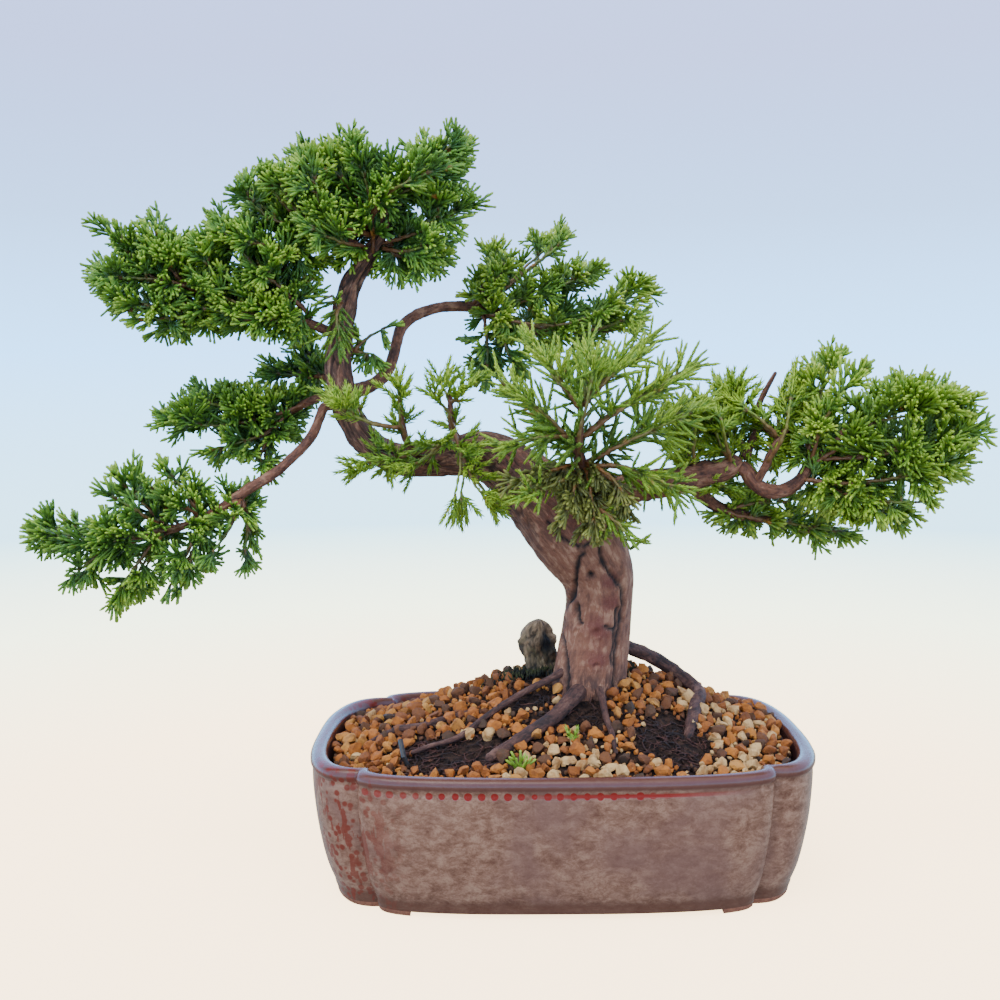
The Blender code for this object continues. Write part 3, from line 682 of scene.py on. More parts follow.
large = scatter(grit, 1500, 1.15, 2.8)
large = large[bareness(large[:, 0], large[:, 1]) < grit.uniform(0.25, 0.6, len(large))]
small = scatter(grit, 2200, 0.8, 1.35)
small = small[bareness(small[:, 0], small[:, 1]) < grit.uniform(0.1, 0.75, len(small))]
PALE_PAIR = [(-10.2, -20.5, 2.6), (-3.4, -22.5, 2.5)]
gravel = lay_stones("gravel_top_dressing", gravel_stone, grit, np.vstack([large, small, PALE_PAIR]), 0.5,
                    lambda x, y: 1.0 if (x, y) in [pale[:2] for pale in PALE_PAIR] else pale_share(x, y))
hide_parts("gravel_dressing")


# ---------------------------------------------------------------- wood
# Trunk, branches and roots are living wood that tapers and bends. Each is lofted round its own
# route, and its bark is cut and swollen in coordinates that follow the route.
def frames_along(points, first_side):
    """Tangent, side and cross directions at each point, turned as little as possible."""
    tangents = unit(np.gradient(points, axis=0))
    side = np.array(first_side, float)
    sides = []
    for tangent in tangents:
        side = unit(side - tangent * np.dot(side, tangent))
        sides.append(side)
    sides = np.array(sides)
    return tangents, sides, np.cross(tangents, sides)


def grow_wood(name, route, material, around, spacing, bark, first_side=(0.0, -1.0, 0.0), rounding=0.6):
    """A piece of wood along a route of (x, y, z, radius); bark gives each point's swelling and shading."""
    line = smooth_route(route, spacing)
    tangents, sides, crosses = frames_along(line[:, :3], first_side)
    along = np.concatenate([[0.0], np.cumsum(np.linalg.norm(np.diff(line[:, :3], axis=0), axis=1))])
    angles = 2 * math.pi * np.arange(around) / around
    turn = np.stack([np.cos(angles), np.sin(angles)], 1)
    outward = turn[None, :, :1] * sides[:, None, :] + turn[None, :, 1:] * crosses[:, None, :]
    radius = line[:, 3].copy()
    ends = np.minimum(along, along[-1] - along)
    radius *= np.clip((ends + 0.15) / (rounding * radius), 0.05, 1.0) ** 0.5
    straight = np.concatenate([turn[None] * line[:, None, 3:4],
                               np.broadcast_to(along[:, None, None], (len(line), around, 1))], 2)
    core = line[:, None, :3] + outward * radius[:, None, None]
    swelling, shading = bark(straight.reshape(-1, 3), core.reshape(-1, 3), outward.reshape(-1, 3))
    swelling = swelling.reshape(len(line), around) * np.clip(ends / 2.0, 0.0, 1.0)[:, None]
    skin = core + outward * swelling[:, :, None]
    points = np.vstack([skin.reshape(-1, 3), line[0, :3] - tangents[0] * 0.1, line[-1, :3] + tangents[-1] * 0.1])
    shading["grain"] = straight.reshape(-1, 3)
    attributes = {}
    for key, values in shading.items():
        attributes[key] = np.concatenate([values, values[:1], values[-1:]])
    return mesh_piece(name, points, loft_triangles(len(line), around), material, attributes)


# Routes of the wood are points of (x, y, z, radius) in millimetres.
TRUNK = [(27.6, 2, 40, 15.5), (28.0, 2, 49, 13.4), (28.8, 2, 58, 12.3), (30.2, 2, 68, 11.6), (31.6, 2, 78, 11.0),
         (32.4, 2, 87, 10.9), (31.4, 2, 95, 12.2), (27.4, 2, 103, 14.0), (22.0, 3, 110, 14.4),
         (15.9, 4, 116.5, 13.2), (9.5, 5, 122.5, 11.0), (2.6, 6, 128.6, 9.0), (-5.0, 7, 132.6, 7.6),
         (-14.4, 8, 132.4, 6.2), (-24.3, 9, 131.0, 5.5), (-34.1, 9, 131.8, 5.1), (-41.5, 8, 135.9, 4.8),
         (-46.7, 8, 142.2, 4.6), (-49.8, 8, 149.8, 4.5), (-51.6, 8, 158.0, 4.4), (-51.8, 8, 165.0, 4.2),
         (-51.1, 8, 172.0, 4.1), (-49.8, 9, 180.3, 3.9), (-47.6, 9, 188.0, 3.6), (-43.8, 9, 194.6, 3.2),
         (-39.8, 8, 200.0, 2.6), (-36.6, 6, 206.0, 1.8), (-35.0, 5, 212.0, 1.1)]


# The crack colour is near black: the dark bark inside cracks, fissures and hollows, together with painted shade in
# them.
BARK_COLOURS = ("Pale", "Middle", "Deep", "Crack Colour", "Stain Colour", "Old Colour")
bark_grain, given, made = start_group(
    "bark", dict(Streaks="Vector", Blotches="Vector", Specks="Vector", Stain="Float", Age="Float", Crack="Float")
    | {colour: "Color" for colour in BARK_COLOURS}, dict(Color="Color", Height="Float"))
streaks = noise_at(given["Streaks"], 0.75, 6.0, 0.7, 0.4)
blotches = noise_at(given["Blotches"], 0.26, 4.0, 0.6, 0.5)
specks = noise_at(given["Specks"], 3.0, 4.0, 0.7)
mixed = maths("MULTIPLY_ADD", blotches, 0.55, times(streaks, 0.45))
base = mix_colour(value_ramp(mixed, 0.40, 0.5), given["Deep"], given["Middle"])
base = mix_colour(value_ramp(mixed, 0.5, 0.61), base, given["Pale"])
base = mix_colour(times(value_ramp(specks, 0.55, 0.75), 0.3), base, given["Pale"])
stained = times(given["Stain"], value_ramp(specks, 0.25, 0.5))
base = mix_colour(stained, base, given["Stain Colour"])
aged = times(given["Age"], value_ramp(streaks, 0.64, 0.42))
base = mix_colour(aged, base, given["Old Colour"])
link(mix_colour(given["Crack"], base, given["Crack Colour"]), made["Color"])
link(maths("MULTIPLY_ADD", specks, 0.5, streaks), made["Height"])


def bark_material(name, *colours, roughness=0.75):
    """Bark read from the stored grain: streaks, blotches, stained patches, old scales and cracks, the cracks
    near-black from their dark bark and painted shade.
    """
    material, shader = start_material(name, roughness)
    values = dict(zip(BARK_COLOURS, colours))
    for socket, stretch in (("Streaks", 0.22), ("Blotches", 0.8), ("Specks", 0.6)):
        values[socket] = place_of(material, (1.0, 1.0, stretch), "grain")
    for socket in ("Stain", "Age", "Crack"):
        values[socket] = stored(material, socket.lower())
    finish_with(shader, bark_grain, 0.8, 0.0006, values)
    return material


trunk_bark = bark_material("trunk bark", (0.44, 0.250, 0.170), (0.270, 0.118, 0.068), (0.16, 0.064, 0.036),
                           (0.012, 0.007, 0.005), (0.15, 0.028, 0.018), (0.075, 0.034, 0.022))
FRONT_FISSURES = [  # x, z along the deep fissures of the trunk's front
    [(27, 103), (24.5, 100), (23.9, 92), (23.2, 87), (20.7, 82.5), (20.0, 76), (21.6, 65), (21.8, 58)],
    [(31.8, 105), (32.5, 100), (35.6, 95), (39.0, 90.5), (39.4, 84), (38.5, 77.5), (37.3, 65), (37.0, 58)],
    [(15, 112), (19, 107.5), (25, 104.5), (32, 107)], [(37.6, 84), (37, 76), (36, 66)],
    [(24.8, 85), (25, 81.5), (26.2, 79.5)], [(33.5, 78.5), (37, 77)]]
# x, z and radius
FRONT_STAINS = [(35.0, 86, 3.2), (31.5, 78.0, 5.2), (31.0, 68, 4.6), (35.0, 93, 3.0), (20, 116, 8.0),
                (4, 131, 5.0)]
KNOTS = [(30.8, 76.9, 2.6), (30.5, 66.2, 1.8), (25.0, 77.0, 1.4), (-8.5, 133, 2.4)]


def distance_to_line(x, z, line):
    """Distance in the XZ plane from each point to a line of short straight stretches."""
    best = np.full(len(x), 1e9)
    for (ax, az), (bx, bz) in zip(line[:-1], line[1:]):
        dx, dz = bx - ax, bz - az
        share = np.clip(((x - ax) * dx + (z - az) * dz) / (dx * dx + dz * dz), 0, 1)
        best = np.minimum(best, np.hypot(x - ax - share * dx, z - az - share * dz))
    return best


def trunk_skin(straight, core, outward):
    """Smooth plates between deep fissures low down, knots and a hole, flaky and rough higher up; the fissures, cracks
    and hole are painted near-black, partly dark bark and partly painted shade.
    """
    x, z = core[:, 0], core[:, 2]
    upper = np.clip((straight[:, 2] - 62) / 30, 0, 1)
    front = np.clip(-outward[:, 1] * 3, 0, 1)
    size = np.linalg.norm(straight[:, :2], axis=1)
    muscles = rumple(straight, (9, 9, 45), 3.0) * size * 0.12
    plates = rumple(straight, (3.6, 3.6, 16), 11.0) + 0.5 * rumple(straight, (1.9, 1.9, 8), 7.0)
    smooth_front = front * (1 - upper)
    small = np.clip(1 - np.abs(plates) / (0.06 + 0.04 * upper), 0, 1) * (1 - 0.85 * smooth_front)
    wander = rumple(core, 2.2, 4.0) * 0.7
    deep = np.zeros(len(x))
    for line in FRONT_FISSURES:
        deep = np.maximum(deep, np.clip(1.25 - (distance_to_line(x + wander, z, line)) / 0.75, 0, 1) * front)
    stain = np.zeros(len(x))
    for cx, cz, radius in FRONT_STAINS:
        ragged = np.hypot(x - cx, z - cz) / radius + rumple(core, 1.8, cx) * 0.5
        stain = np.maximum(stain, np.clip(1.5 - ragged * 1.2, 0, 1) * front)
    knots = np.zeros(len(x))
    for cx, cz, radius in KNOTS:
        away = np.hypot(x - cx, (z - cz) * 1.15) / radius
        knots += (np.exp(-((away - 0.8) / 0.3) ** 2) * 0.55 - np.exp(-(away / 0.35) ** 2) * 0.8) * front
    hole = np.clip(1.6 - np.hypot(x - 28.6, (z - 95.5) * 1.3) / 0.9, 0, 1) * front
    fibres = rumple(straight, (0.9, 0.9, 7), 5.0)
    flakes = rumple(straight, (2.0, 2.0, 4.5), 23.0)
    swelling = (muscles - small * (0.35 + 0.45 * upper) + fibres * (0.08 + 0.2 * upper)
                + flakes * (0.15 + 0.4 * upper) - deep * 1.3 - hole * 2.0 + knots)
    # The fissures, small cracks and hole take the near-black crack colour: their dark bark and painted shade.
    crack = np.clip(np.maximum(small * (0.5 + 0.3 * upper), np.maximum(deep, hole)), 0, 1)
    base = np.clip((67 - z) / 8, 0, 1)
    age = np.clip(np.maximum(upper * 0.9, base), 0, 1)
    return swelling, {"crack": crack, "stain": stain * 0.8, "age": age}


trunk = grow_wood("juniper_trunk", TRUNK, trunk_bark, 112, 0.8, trunk_skin)
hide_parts("trunk")

CUT_STUMP = [(17.5, 14, 53, 6.4), (15.2, 13, 60, 6.3), (13.4, 12, 66, 6.6), (12.6, 11, 72, 6.7),
             (13.0, 10, 77.5, 5.2)]
stump_wood = bark_material("weathered stump", (0.50, 0.38, 0.26), (0.24, 0.170, 0.10), (0.07, 0.048, 0.024),
                           (0.010, 0.008, 0.006), (0.08, 0.07, 0.02), (0.045, 0.035, 0.02))


def stump_skin(straight, core, outward):
    """A knobbly cut end on a narrower neck, cracked through, with a hollow low on its right; the cracks and hollow are
    painted near-black, their dark wood and painted shade.
    """
    x, z = core[:, 0], core[:, 2]
    front = np.clip(-outward[:, 1] * 3, 0, 1)
    knobs = rumple(straight, (4.2, 4.2, 4.2), 2.0) * 1.9 + rumple(straight, (1.7, 1.7, 2.2), 9.0) * 0.55
    neck = -1.6 * np.exp(-((z - 66) / 4.0) ** 2)
    cracks = np.clip(1 - np.abs(rumple(straight, (2.8, 2.8, 5), 31.0)) / 0.10, 0, 1)
    hollow = np.clip(1.5 - np.hypot((x - 17) / 3.2, (z - 70) / 4.2), 0, 1) * front
    moss = np.clip(rumple(core, 3.0, 12.0) * 2 + (72 - z) / 8, 0, 1)
    shading = {"crack": np.maximum(cracks * 0.8, hollow), "stain": moss * 0.6, "age": np.clip((66 - z) / 6, 0, 1)}
    return knobs + neck - cracks * 0.6 - hollow * 1.8, shading


stump = grow_wood("old_cut_stump", CUT_STUMP, stump_wood, 64, 0.5, stump_skin, rounding=1.0)
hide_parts("cut_stump")

ROOTS = {
    "root_right_arch": [(36, 6, 70.5, 2.6), (42.7, 10, 68.0, 2.3), (48.8, 13, 65.0, 2.3), (54.8, 14.5, 61.6, 2.3),
                        (60.4, 12.5, 57.8, 2.3), (64.6, 7.5, 54.8, 2.3), (65.0, 1, 53.4, 2.3),
                        (63.1, -5.2, 51.9, 2.2), (60.4, -14, 49.4, 1.9), (58.0, -22, 45.6, 1.4)],
    "root_left_long": [(21.5, -4, 63.6, 1.6), (16.6, -6.5, 61.6, 1.2), (10.5, -8, 59.0, 1.1), (2.0, -11, 54.9, 1.0),
                       (-6.5, -16, 50.2, 1.0), (-10.9, -20, 47.6, 0.95), (-15.8, -22.2, 45.7, 0.9),
                       (-22.0, -23, 44.2, 0.8), (-27.8, -24, 42.4, 0.7)],
    "root_left_thick": [(26, -7, 58.4, 3.0), (22.2, -13.2, 56.0, 2.6), (16.2, -20.6, 52.3, 2.3),
                        (9.7, -25.4, 49.3, 2.1), (2.0, -30.2, 45.8, 1.9), (-4.4, -33.8, 43.0, 1.5)],
    "root_far_left": [(-10, -5, 50.0, 1.1), (-18, -7, 48.6, 1.1), (-25.6, -8, 46.7, 1.1), (-32.0, -6, 45.3, 1.1),
                      (-37.1, -7, 43.6, 1.0), (-42.9, -9.5, 41.3, 0.8)],
    "root_front": [(31.2, -8, 59.0, 1.4), (32.1, -13.4, 56.4, 1.2), (32.7, -20, 52.6, 1.0), (33.9, -27.2, 48.9, 0.9),
                   (34.5, -34.8, 44.8, 0.7)],
}
BRANCHES = {
    "branch_lower_left": [(-47.5, 8, 147.5, 2.0), (-52.5, 6.5, 149.6, 1.7), (-56.1, 4, 149.0, 1.65),
                          (-57.6, 2, 145.6, 1.6), (-58.9, 0, 141.6, 1.6), (-61.9, -2, 136.9, 1.6),
                          (-66.3, -3, 132.5, 1.6), (-72.0, -4, 127.7, 1.65), (-78.8, -4, 123.7, 1.7),
                          (-84.8, -5, 119.6, 1.6), (-93.9, -5, 114.0, 1.3), (-105.1, -5, 110.2, 1.2),
                          (-118.1, -5, 106.5, 0.9)],
    "branch_mid_left": [(-51.5, 9, 154.6, 1.6), (-56.4, 13, 153.2, 1.45), (-63.8, 18, 150.5, 1.3),
                        (-69.0, 21, 147.9, 1.2), (-74.1, 23, 145.8, 1.15), (-79.5, 24, 144.6, 1.0),
                        (-90.0, 24, 142.0, 0.8)],
    "branch_back_left": [(-51.5, 10, 158.2, 1.3), (-57.0, 17, 158.6, 1.1), (-62.5, 23, 159.4, 1.0),
                         (-68.0, 26, 160.0, 0.8)],
    "branch_top_left": [(-50.8, 8, 170.4, 2.0), (-55.0, 7, 173.4, 1.65), (-60.6, 5, 175.8, 1.5),
                        (-67.5, 3, 177.0, 1.4), (-75.9, 1, 178.2, 1.3), (-86.6, -1, 181.5, 1.2),
                        (-97.1, -3, 185.6, 1.1), (-106.0, -4, 187.7, 0.8)],
    "branch_crown_left": [(-41.5, 8, 197.6, 1.5), (-46.0, 7, 201.4, 1.3), (-52.0, 5, 204.0, 1.2),
                          (-60.0, 4, 204.0, 1.1), (-69.0, 4, 200.0, 0.8)],
    "branch_upper_right": [(-48.5, 10, 153.8, 2.4), (-43.6, 14, 155.2, 2.3), (-39.2, 17, 158.0, 2.15),
                           (-36.0, 19, 162.8, 2.0), (-34.2, 21, 169.4, 1.9), (-32.2, 24, 175.8, 1.9),
                           (-27.4, 27, 179.8, 1.85), (-19.4, 30, 182.4, 1.8), (-9.8, 33, 182.8, 1.8),
                           (-2.6, 35, 180.4, 1.6), (4.3, 38, 176.9, 1.5), (14.0, 41, 174.4, 1.3),
                           (24.0, 43, 176.0, 0.9)],
    "branch_right": [(22, 3, 113, 8.0), (33.5, 1.5, 118.6, 6.8), (41.0, 0, 121.6, 5.4), (48.5, -2, 123.2, 4.9),
                     (56.2, -3.5, 124.4, 4.6), (64.2, -4, 126.4, 4.2), (71.6, -4, 128.2, 3.7),
                     (77.4, -4, 131.2, 2.9)],
    "branch_front": [(27, 0, 116, 4.0), (27.4, -9, 122, 3.4), (26.4, -18, 127.5, 2.6), (24.6, -27, 131.5, 2.0),
                     (23.4, -33, 138.0, 1.5), (24.2, -35, 146.0, 1.0)],
    "branch_right_loop": [(76.2, -4, 129.6, 2.4), (78.8, -4.5, 127.4, 2.3), (81.0, -5, 124.2, 2.3),
                          (85.5, -6, 121.2, 2.3), (90.9, -6, 121.5, 2.2), (95.8, -5, 124.6, 2.0),
                          (99.2, -4, 129.2, 1.8), (104.9, -4, 134.0, 1.4), (111.0, -4, 141.0, 1.0)],
    "branch_right_lower": [(61.9, -3, 123.4, 2.6), (66.2, 4, 119.4, 2.3), (71.0, 8, 115.6, 2.1),
                           (77.9, 10, 112.6, 1.9), (88.5, 12, 110.6, 1.6), (97.3, 14, 107.8, 1.3),
                           (105.9, 15, 106.0, 0.9)],
    "dead_twig": [(78.8, -3, 132.0, 1.6), (80.9, 0, 135.4, 1.3), (83.2, 1.5, 140.5, 1.2), (83.4, 2, 146.5, 1.0),
                  (85.8, 2, 152.5, 0.9), (89.4, 2, 159.0, 0.6)],
    "twig_right_upright": [(81.6, -5.2, 123.6, 1.4), (84.4, -8.4, 129.8, 1.3), (87.6, -9.6, 137.0, 1.2),
                           (91.4, -10, 142.6, 0.8)],
    "twig_front_left": [(-24.3, 8, 132.5, 1.6), (-26.6, 2.5, 134.0, 1.3), (-29.2, -2, 137.6, 1.2),
                        (-30.6, -4, 143.4, 1.1), (-31.1, -5, 151.4, 0.8)],
    "twig_front_mid": [(-10.5, 6, 135.0, 1.6), (-12.4, 0, 137.8, 1.3), (-14.4, -4, 141.4, 1.1),
                       (-15.0, -6, 147.0, 1.0), (-15.2, -6, 153.5, 0.7)],
}
root_bark = bark_material("root bark", (0.17, 0.085, 0.062), (0.085, 0.034, 0.024), (0.03, 0.013, 0.009),
                          (0.010, 0.006, 0.004), (0.12, 0.03, 0.018), (0.05, 0.02, 0.014), roughness=0.8)
branch_bark = bark_material("branch bark", (0.36, 0.19, 0.120), (0.20, 0.078, 0.042), (0.080, 0.028, 0.016),
                            (0.016, 0.007, 0.005), (0.22, 0.08, 0.045), (0.07, 0.03, 0.02))


def branch_skin(straight, core, outward):
    size = np.linalg.norm(straight[:, :2], axis=1)
    flakes = rumple(straight, (1.3, 1.3, 5), 4.0)
    cracks = np.clip(1 - np.abs(flakes) / 0.09, 0, 1)
    rings = rumple(straight * (0, 0, 1), 2.2, 8.0)
    fibres = rumple(straight, (0.6, 0.6, 3.5), 15.0)
    # The cracks are painted near-black: dark bark and painted shade.
    return size * (flakes * 0.12 + rings * 0.09 + fibres * 0.05) - cracks * size * 0.07, {"crack": cracks * 0.7}


THICK = 4.0  # wood thicker than this radius has more points round it, set further apart along it
for routes, bark, slot in ((ROOTS, root_bark, "root_bark"), (BRANCHES, branch_bark, "branch_bark")):
    for name, route in routes.items():
        thick = max(point[3] for point in route)
        wood = grow_wood("juniper_" + name, route, bark, 48 if thick > THICK else 28,
                         0.45 if thick < THICK else 0.7, branch_skin, first_side=(0.3, -0.5, 0.8))
        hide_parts(name)


# ---------------------------------------------------------------- fine roots, crumbs and moss
# Hair-fine red roots and crumbs of soil lie open in the washed-out patches, and dark moss has
# taken in the wet places round the foot of the trunk and the stump.
def cord(points, radii, growth_start, growth_end):
    """A closed four-sided cord whose scale leaves stand out at every second ring."""
    points = np.array(points, float)
    tangents, sides, crosses = frames_along(points, (0.31, 0.95, 0.07))
    rings = []
    for i, point in enumerate(points):
        scales = 1.08 if i % 2 else 0.84
        turned = math.pi / 4 * (i % 2)
        for quarter in range(4):
            angle = turned + math.pi / 2 * quarter
            out = sides[i] * math.cos(angle) + crosses[i] * math.sin(angle)
            rings.append(point + out * radii[i] * scales)
    ends = [points[0] - tangents[0] * 0.1, points[-1] + tangents[-1] * radii[-1] * 0.8]
    share = np.linspace(0, 1, len(points))
    growth = growth_start + (growth_end - growth_start) * share
    growth = np.concatenate([np.repeat(growth, 4), [growth_start, growth_end]])
    return np.vstack([rings, ends]), loft_triangles(len(points), 4), growth


def gather(parts):
    """One template from many: points, triangles and growth."""
    points, triangles, growth, offset = [], [], [], 0
    for part_points, part_triangles, part_growth in parts:
        points.append(part_points)
        triangles.append(part_triangles + offset)
        growth.append(part_growth)
        offset += len(part_points)
    return np.vstack(points), np.vstack(triangles), np.concatenate(growth)


def lie_on_ground(x, y, lift):
    return np.array([x, y, float(mound_height(x, y)) - 1.9 + lift])


litter = np.random.RandomState(19)
hairs = []
for (cx, cy), (rx, ry) in BARE_SOIL[:5]:
    for _ in range(int(rx * ry * 0.42)):
        x, y = cx + litter.uniform(-0.95, 0.95) * rx, cy + litter.uniform(-0.9, 0.9) * ry
        heading, steps = litter.uniform(0, 2 * math.pi), litter.randint(6, 13)
        walk = []
        for step in range(steps):
            arch = math.sin(math.pi * step / steps) * litter.uniform(0.3, 1)
            walk.append(lie_on_ground(x, y, 0.35 + 1.1 * arch))
            heading += litter.normal() * 0.7
            x, y = x + 1.3 * math.cos(heading), y + 1.0 * math.sin(heading)
        hairs.append(cord(walk, np.linspace(0.24, 0.12, steps) * litter.uniform(0.5, 1.4), 0, 1))
points, triangles, growth = gather(hairs)
fine_root_skin, fine_root_shader = start_material("fine red roots", 0.7)
share = noise_at(place_of(fine_root_skin), 260.0, 3.0)
ROOT_COLOURS = [(0.4, (0.02, 0.008, 0.005)), (0.62, (0.08, 0.022, 0.012)), (0.8, (0.26, 0.12, 0.07))]
link(colour_ramp(share, ROOT_COLOURS), fine_root_shader.inputs["Base Color"])
fine_roots = mesh_piece("fine_feeder_roots", points, triangles, fine_root_skin, {"growth": growth})

crumb_places = []
for (cx, cy), (rx, ry) in BARE_SOIL:
    for _ in range(int(rx * ry * 1.1)):
        angle, reach = litter.uniform(0, 2 * math.pi), 1.1 * math.sqrt(litter.uniform())
        crumb_places.append((cx + rx * reach * math.cos(angle), cy + ry * reach * math.sin(angle),
                             litter.uniform(0.35, 1.0) * litter.uniform(0.6, 1.1)))
crumbs = lay_stones("soil_crumbs", soil_earth, litter, np.array(crumb_places), 0.0, lambda x, y: 0.0)

# middle, half size and number of tufts of each mossy place
MOSSY = [((11, 9), (7, 5), 90), ((20.5, 4), (4, 6), 60), ((5, 11), (8, 5), 50), ((40, 13), (6, 5), 40)]
blades = []
for (cx, cy), (rx, ry), count in MOSSY:
    for _ in range(count * 3):
        x, y = cx + litter.normal() * rx * 0.5, cy + litter.normal() * ry * 0.5
        foot = lie_on_ground(x, y, 1.0)
        lean = foot + (litter.normal() * 0.5, litter.normal() * 0.5, litter.uniform(1.0, 2.6))
        blades.append(cord([foot, (foot + lean) / 2 + litter.normal(size=3) * 0.15, lean], (0.34, 0.3, 0.16), 0, 1))
points, triangles, growth = gather(blades)
moss_skin, moss_shader = start_material("dark moss", 0.9)
patchy = noise_at(place_of(moss_skin), 240.0, 3.0)
tips = times(stored(moss_skin, "growth"), value_ramp(patchy, 0.35, 0.7))
link(mix_colour(tips, (0.010, 0.009, 0.004), (0.055, 0.07, 0.012)), moss_shader.inputs["Base Color"])
moss = mesh_piece("moss_at_trunk_foot", points, triangles, moss_skin, {"growth": growth})


# ---------------------------------------------------------------- foliage
# Juniper foliage is green cords of tiny overlapping scale leaves that fork into short fingers.
# A few sprays are grown once; shoots carry copies of them, and each pad of shoots is one piece.
CORD_RADIUS = 0.56  # millimetres
SCALE_PITCH = 1.3


def arc_points(start, direction, towards, length, curl, pitch):
    """Points from start along direction, curling towards another direction by curl."""
    count = max(3, round(length / pitch) + 1)
    share = np.linspace(0, 1, count)[:, None]
    return start + (direction * share + towards * curl * share ** 2) * length


def scale_spray(random, length, fingers):
    """A flat forked spray growing along +Z, spread in the XZ plane, its fingers long and straight."""
    up = np.array([0.0, 0.0, 1.0])
    axis = arc_points(np.zeros(3), up, np.array([1.0, 0.35, 0.0]), length, random.uniform(-0.08, 0.08),
                      SCALE_PITCH)
    parts = [cord(axis, CORD_RADIUS * np.linspace(1.0, 0.8, len(axis)), 0.0, 1.0)]
    side = random.choice([-1, 1])
    for i in range(fingers):
        share = min(max(0.1 + 0.68 * (i + random.uniform(-0.2, 0.2)) / fingers, 0.06), 0.8)
        start = axis[int(share * (len(axis) - 1))]
        spread = math.radians(random.uniform(17, 33))
        lean = random.uniform(-0.5, 0.5)
        way = unit(np.array([side * math.sin(spread), lean * 0.6, math.cos(spread)]))
        reach = length * (0.86 - 0.45 * share) * random.uniform(0.7, 1.15)
        finger = arc_points(start, way, up, reach, 0.10, SCALE_PITCH)
        parts.append(cord(finger, CORD_RADIUS * np.linspace(0.92, 0.76, len(finger)), 0.15 + 0.3 * share, 1.0))
        if reach > 5.0:
            fork = finger[int(len(finger) * 0.45)]
            way = unit(np.array([side * math.sin(spread + 0.5), -lean, math.cos(spread + 0.5)]))
            bud = arc_points(fork, way, up, reach * 0.45, 0.1, SCALE_PITCH)
            parts.append(cord(bud, CORD_RADIUS * np.linspace(0.85, 0.74, len(bud)), 0.5, 1.0))
        side = -side
    return gather(parts)


def needle(start, direction, bend_to, length, width):
    """One awl-shaped leaf: three-sided, thickest near its foot, ending in a point."""
    side = unit(np.cross(direction, bend_to) + 1e-6)
    back = np.cross(side, direction)
    middle = start + (direction + bend_to * 0.1) * length * 0.45
    tip = start + (direction + bend_to * 0.28) * length
    points = []
    for centre, half in ((start, width * 0.36), (middle, width * 0.5)):
        points += [centre + side * half, centre - side * half, centre + back * half * 0.8]
    points.append(tip)
    faces = np.array([(0, 2, 1), (0, 1, 4), (0, 4, 3), (1, 2, 5), (1, 5, 4), (2, 0, 3), (2, 3, 5), (3, 4, 6),
                      (4, 5, 6), (5, 3, 6)])
    if np.dot(np.cross(side, back), direction) < 0:
        faces = faces[:, ::-1]
    return np.array(points), faces, np.array([0.35, 0.35, 0.35, 0.7, 0.7, 0.7, 1.0])


def needle_spray(random, length, leaf, spread):
    """A young shoot along +Z with whorls of three awl leaves."""
    up = np.array([0.0, 0.0, 1.0])
    axis = arc_points(np.zeros(3), up, np.array([1.0, 0.4, 0.0]), length, random.uniform(-0.1, 0.1), 1.3)
    parts = [cord(axis, np.linspace(0.5, 0.34, len(axis)), 0.1, 0.7)]
    whorls = max(3, round(length / 1.2))
    for i in range(whorls):
        share = (i + 0.5) / whorls
        start = axis[0] + (axis[-1] - axis[0]) * share
        tight = 1.0 - 0.62 * share ** 2
        for leg in range(3):
            angle = 2 * math.pi * leg / 3 + i * math.pi / 3 + random.uniform(-0.25, 0.25)
            away = np.array([math.cos(angle), math.sin(angle), 0.0])
            open_angle = math.radians(spread * tight * random.uniform(0.85, 1.15))
            way = away * math.sin(open_angle) + up * math.cos(open_angle)
            parts.append(needle(start, way, up, leaf * random.uniform(0.8, 1.1) * (1.05 - 0.25 * share), 0.72))
    return gather(parts)


seeds = np.random.RandomState(41)
SCALE_SPRAYS = {size: [scale_spray(seeds, size, fingers) for _ in range(4)]
                for size, fingers in ((4.5, 2), (7.0, 3), (10.0, 5), (13.5, 6))}
NEEDLE_SPRAYS = {size: [needle_spray(seeds, size, leaf, 40) for _ in range(3)]
                 for size, leaf in ((5.0, 2.5), (8.5, 2.9), (12.5, 3.1))}
AWL_SPRAYS = {size: [needle_spray(seeds, size, leaf, 27) for _ in range(3)]
              for size, leaf in ((4.0, 1.6), (6.5, 1.8), (9.5, 2.0))}


class Pad:
    """The cords of one pad as they grow: points, triangles and their shading."""

    def __init__(self):
        self.points, self.triangles, self.shading, self.count = [], [], [], 0

    def add(self, template, turn, place, tone, wood):
        points, triangles, growth = template
        self.points.append(points @ turn.T + place)
        self.triangles.append(triangles + self.count)
        size = len(points)
        self.shading.append(np.stack([growth, np.full(size, tone), np.broadcast_to(wood, size)], 1))
        self.count += len(points)


def spray_turn(direction, flat, scale):
    """A matrix that sends +Z along direction and +X near flat."""
    across = unit(flat - direction * np.dot(flat, direction))
    return np.stack([across, np.cross(direction, across), direction], 1) * scale


def pick_spray(random, sprays, length):
    size = min(sprays, key=lambda one: abs(one - length))
    choice = sprays[size][random.randint(len(sprays[size]))]
    return choice, float(np.clip(length / size, 0.86, 1.14))


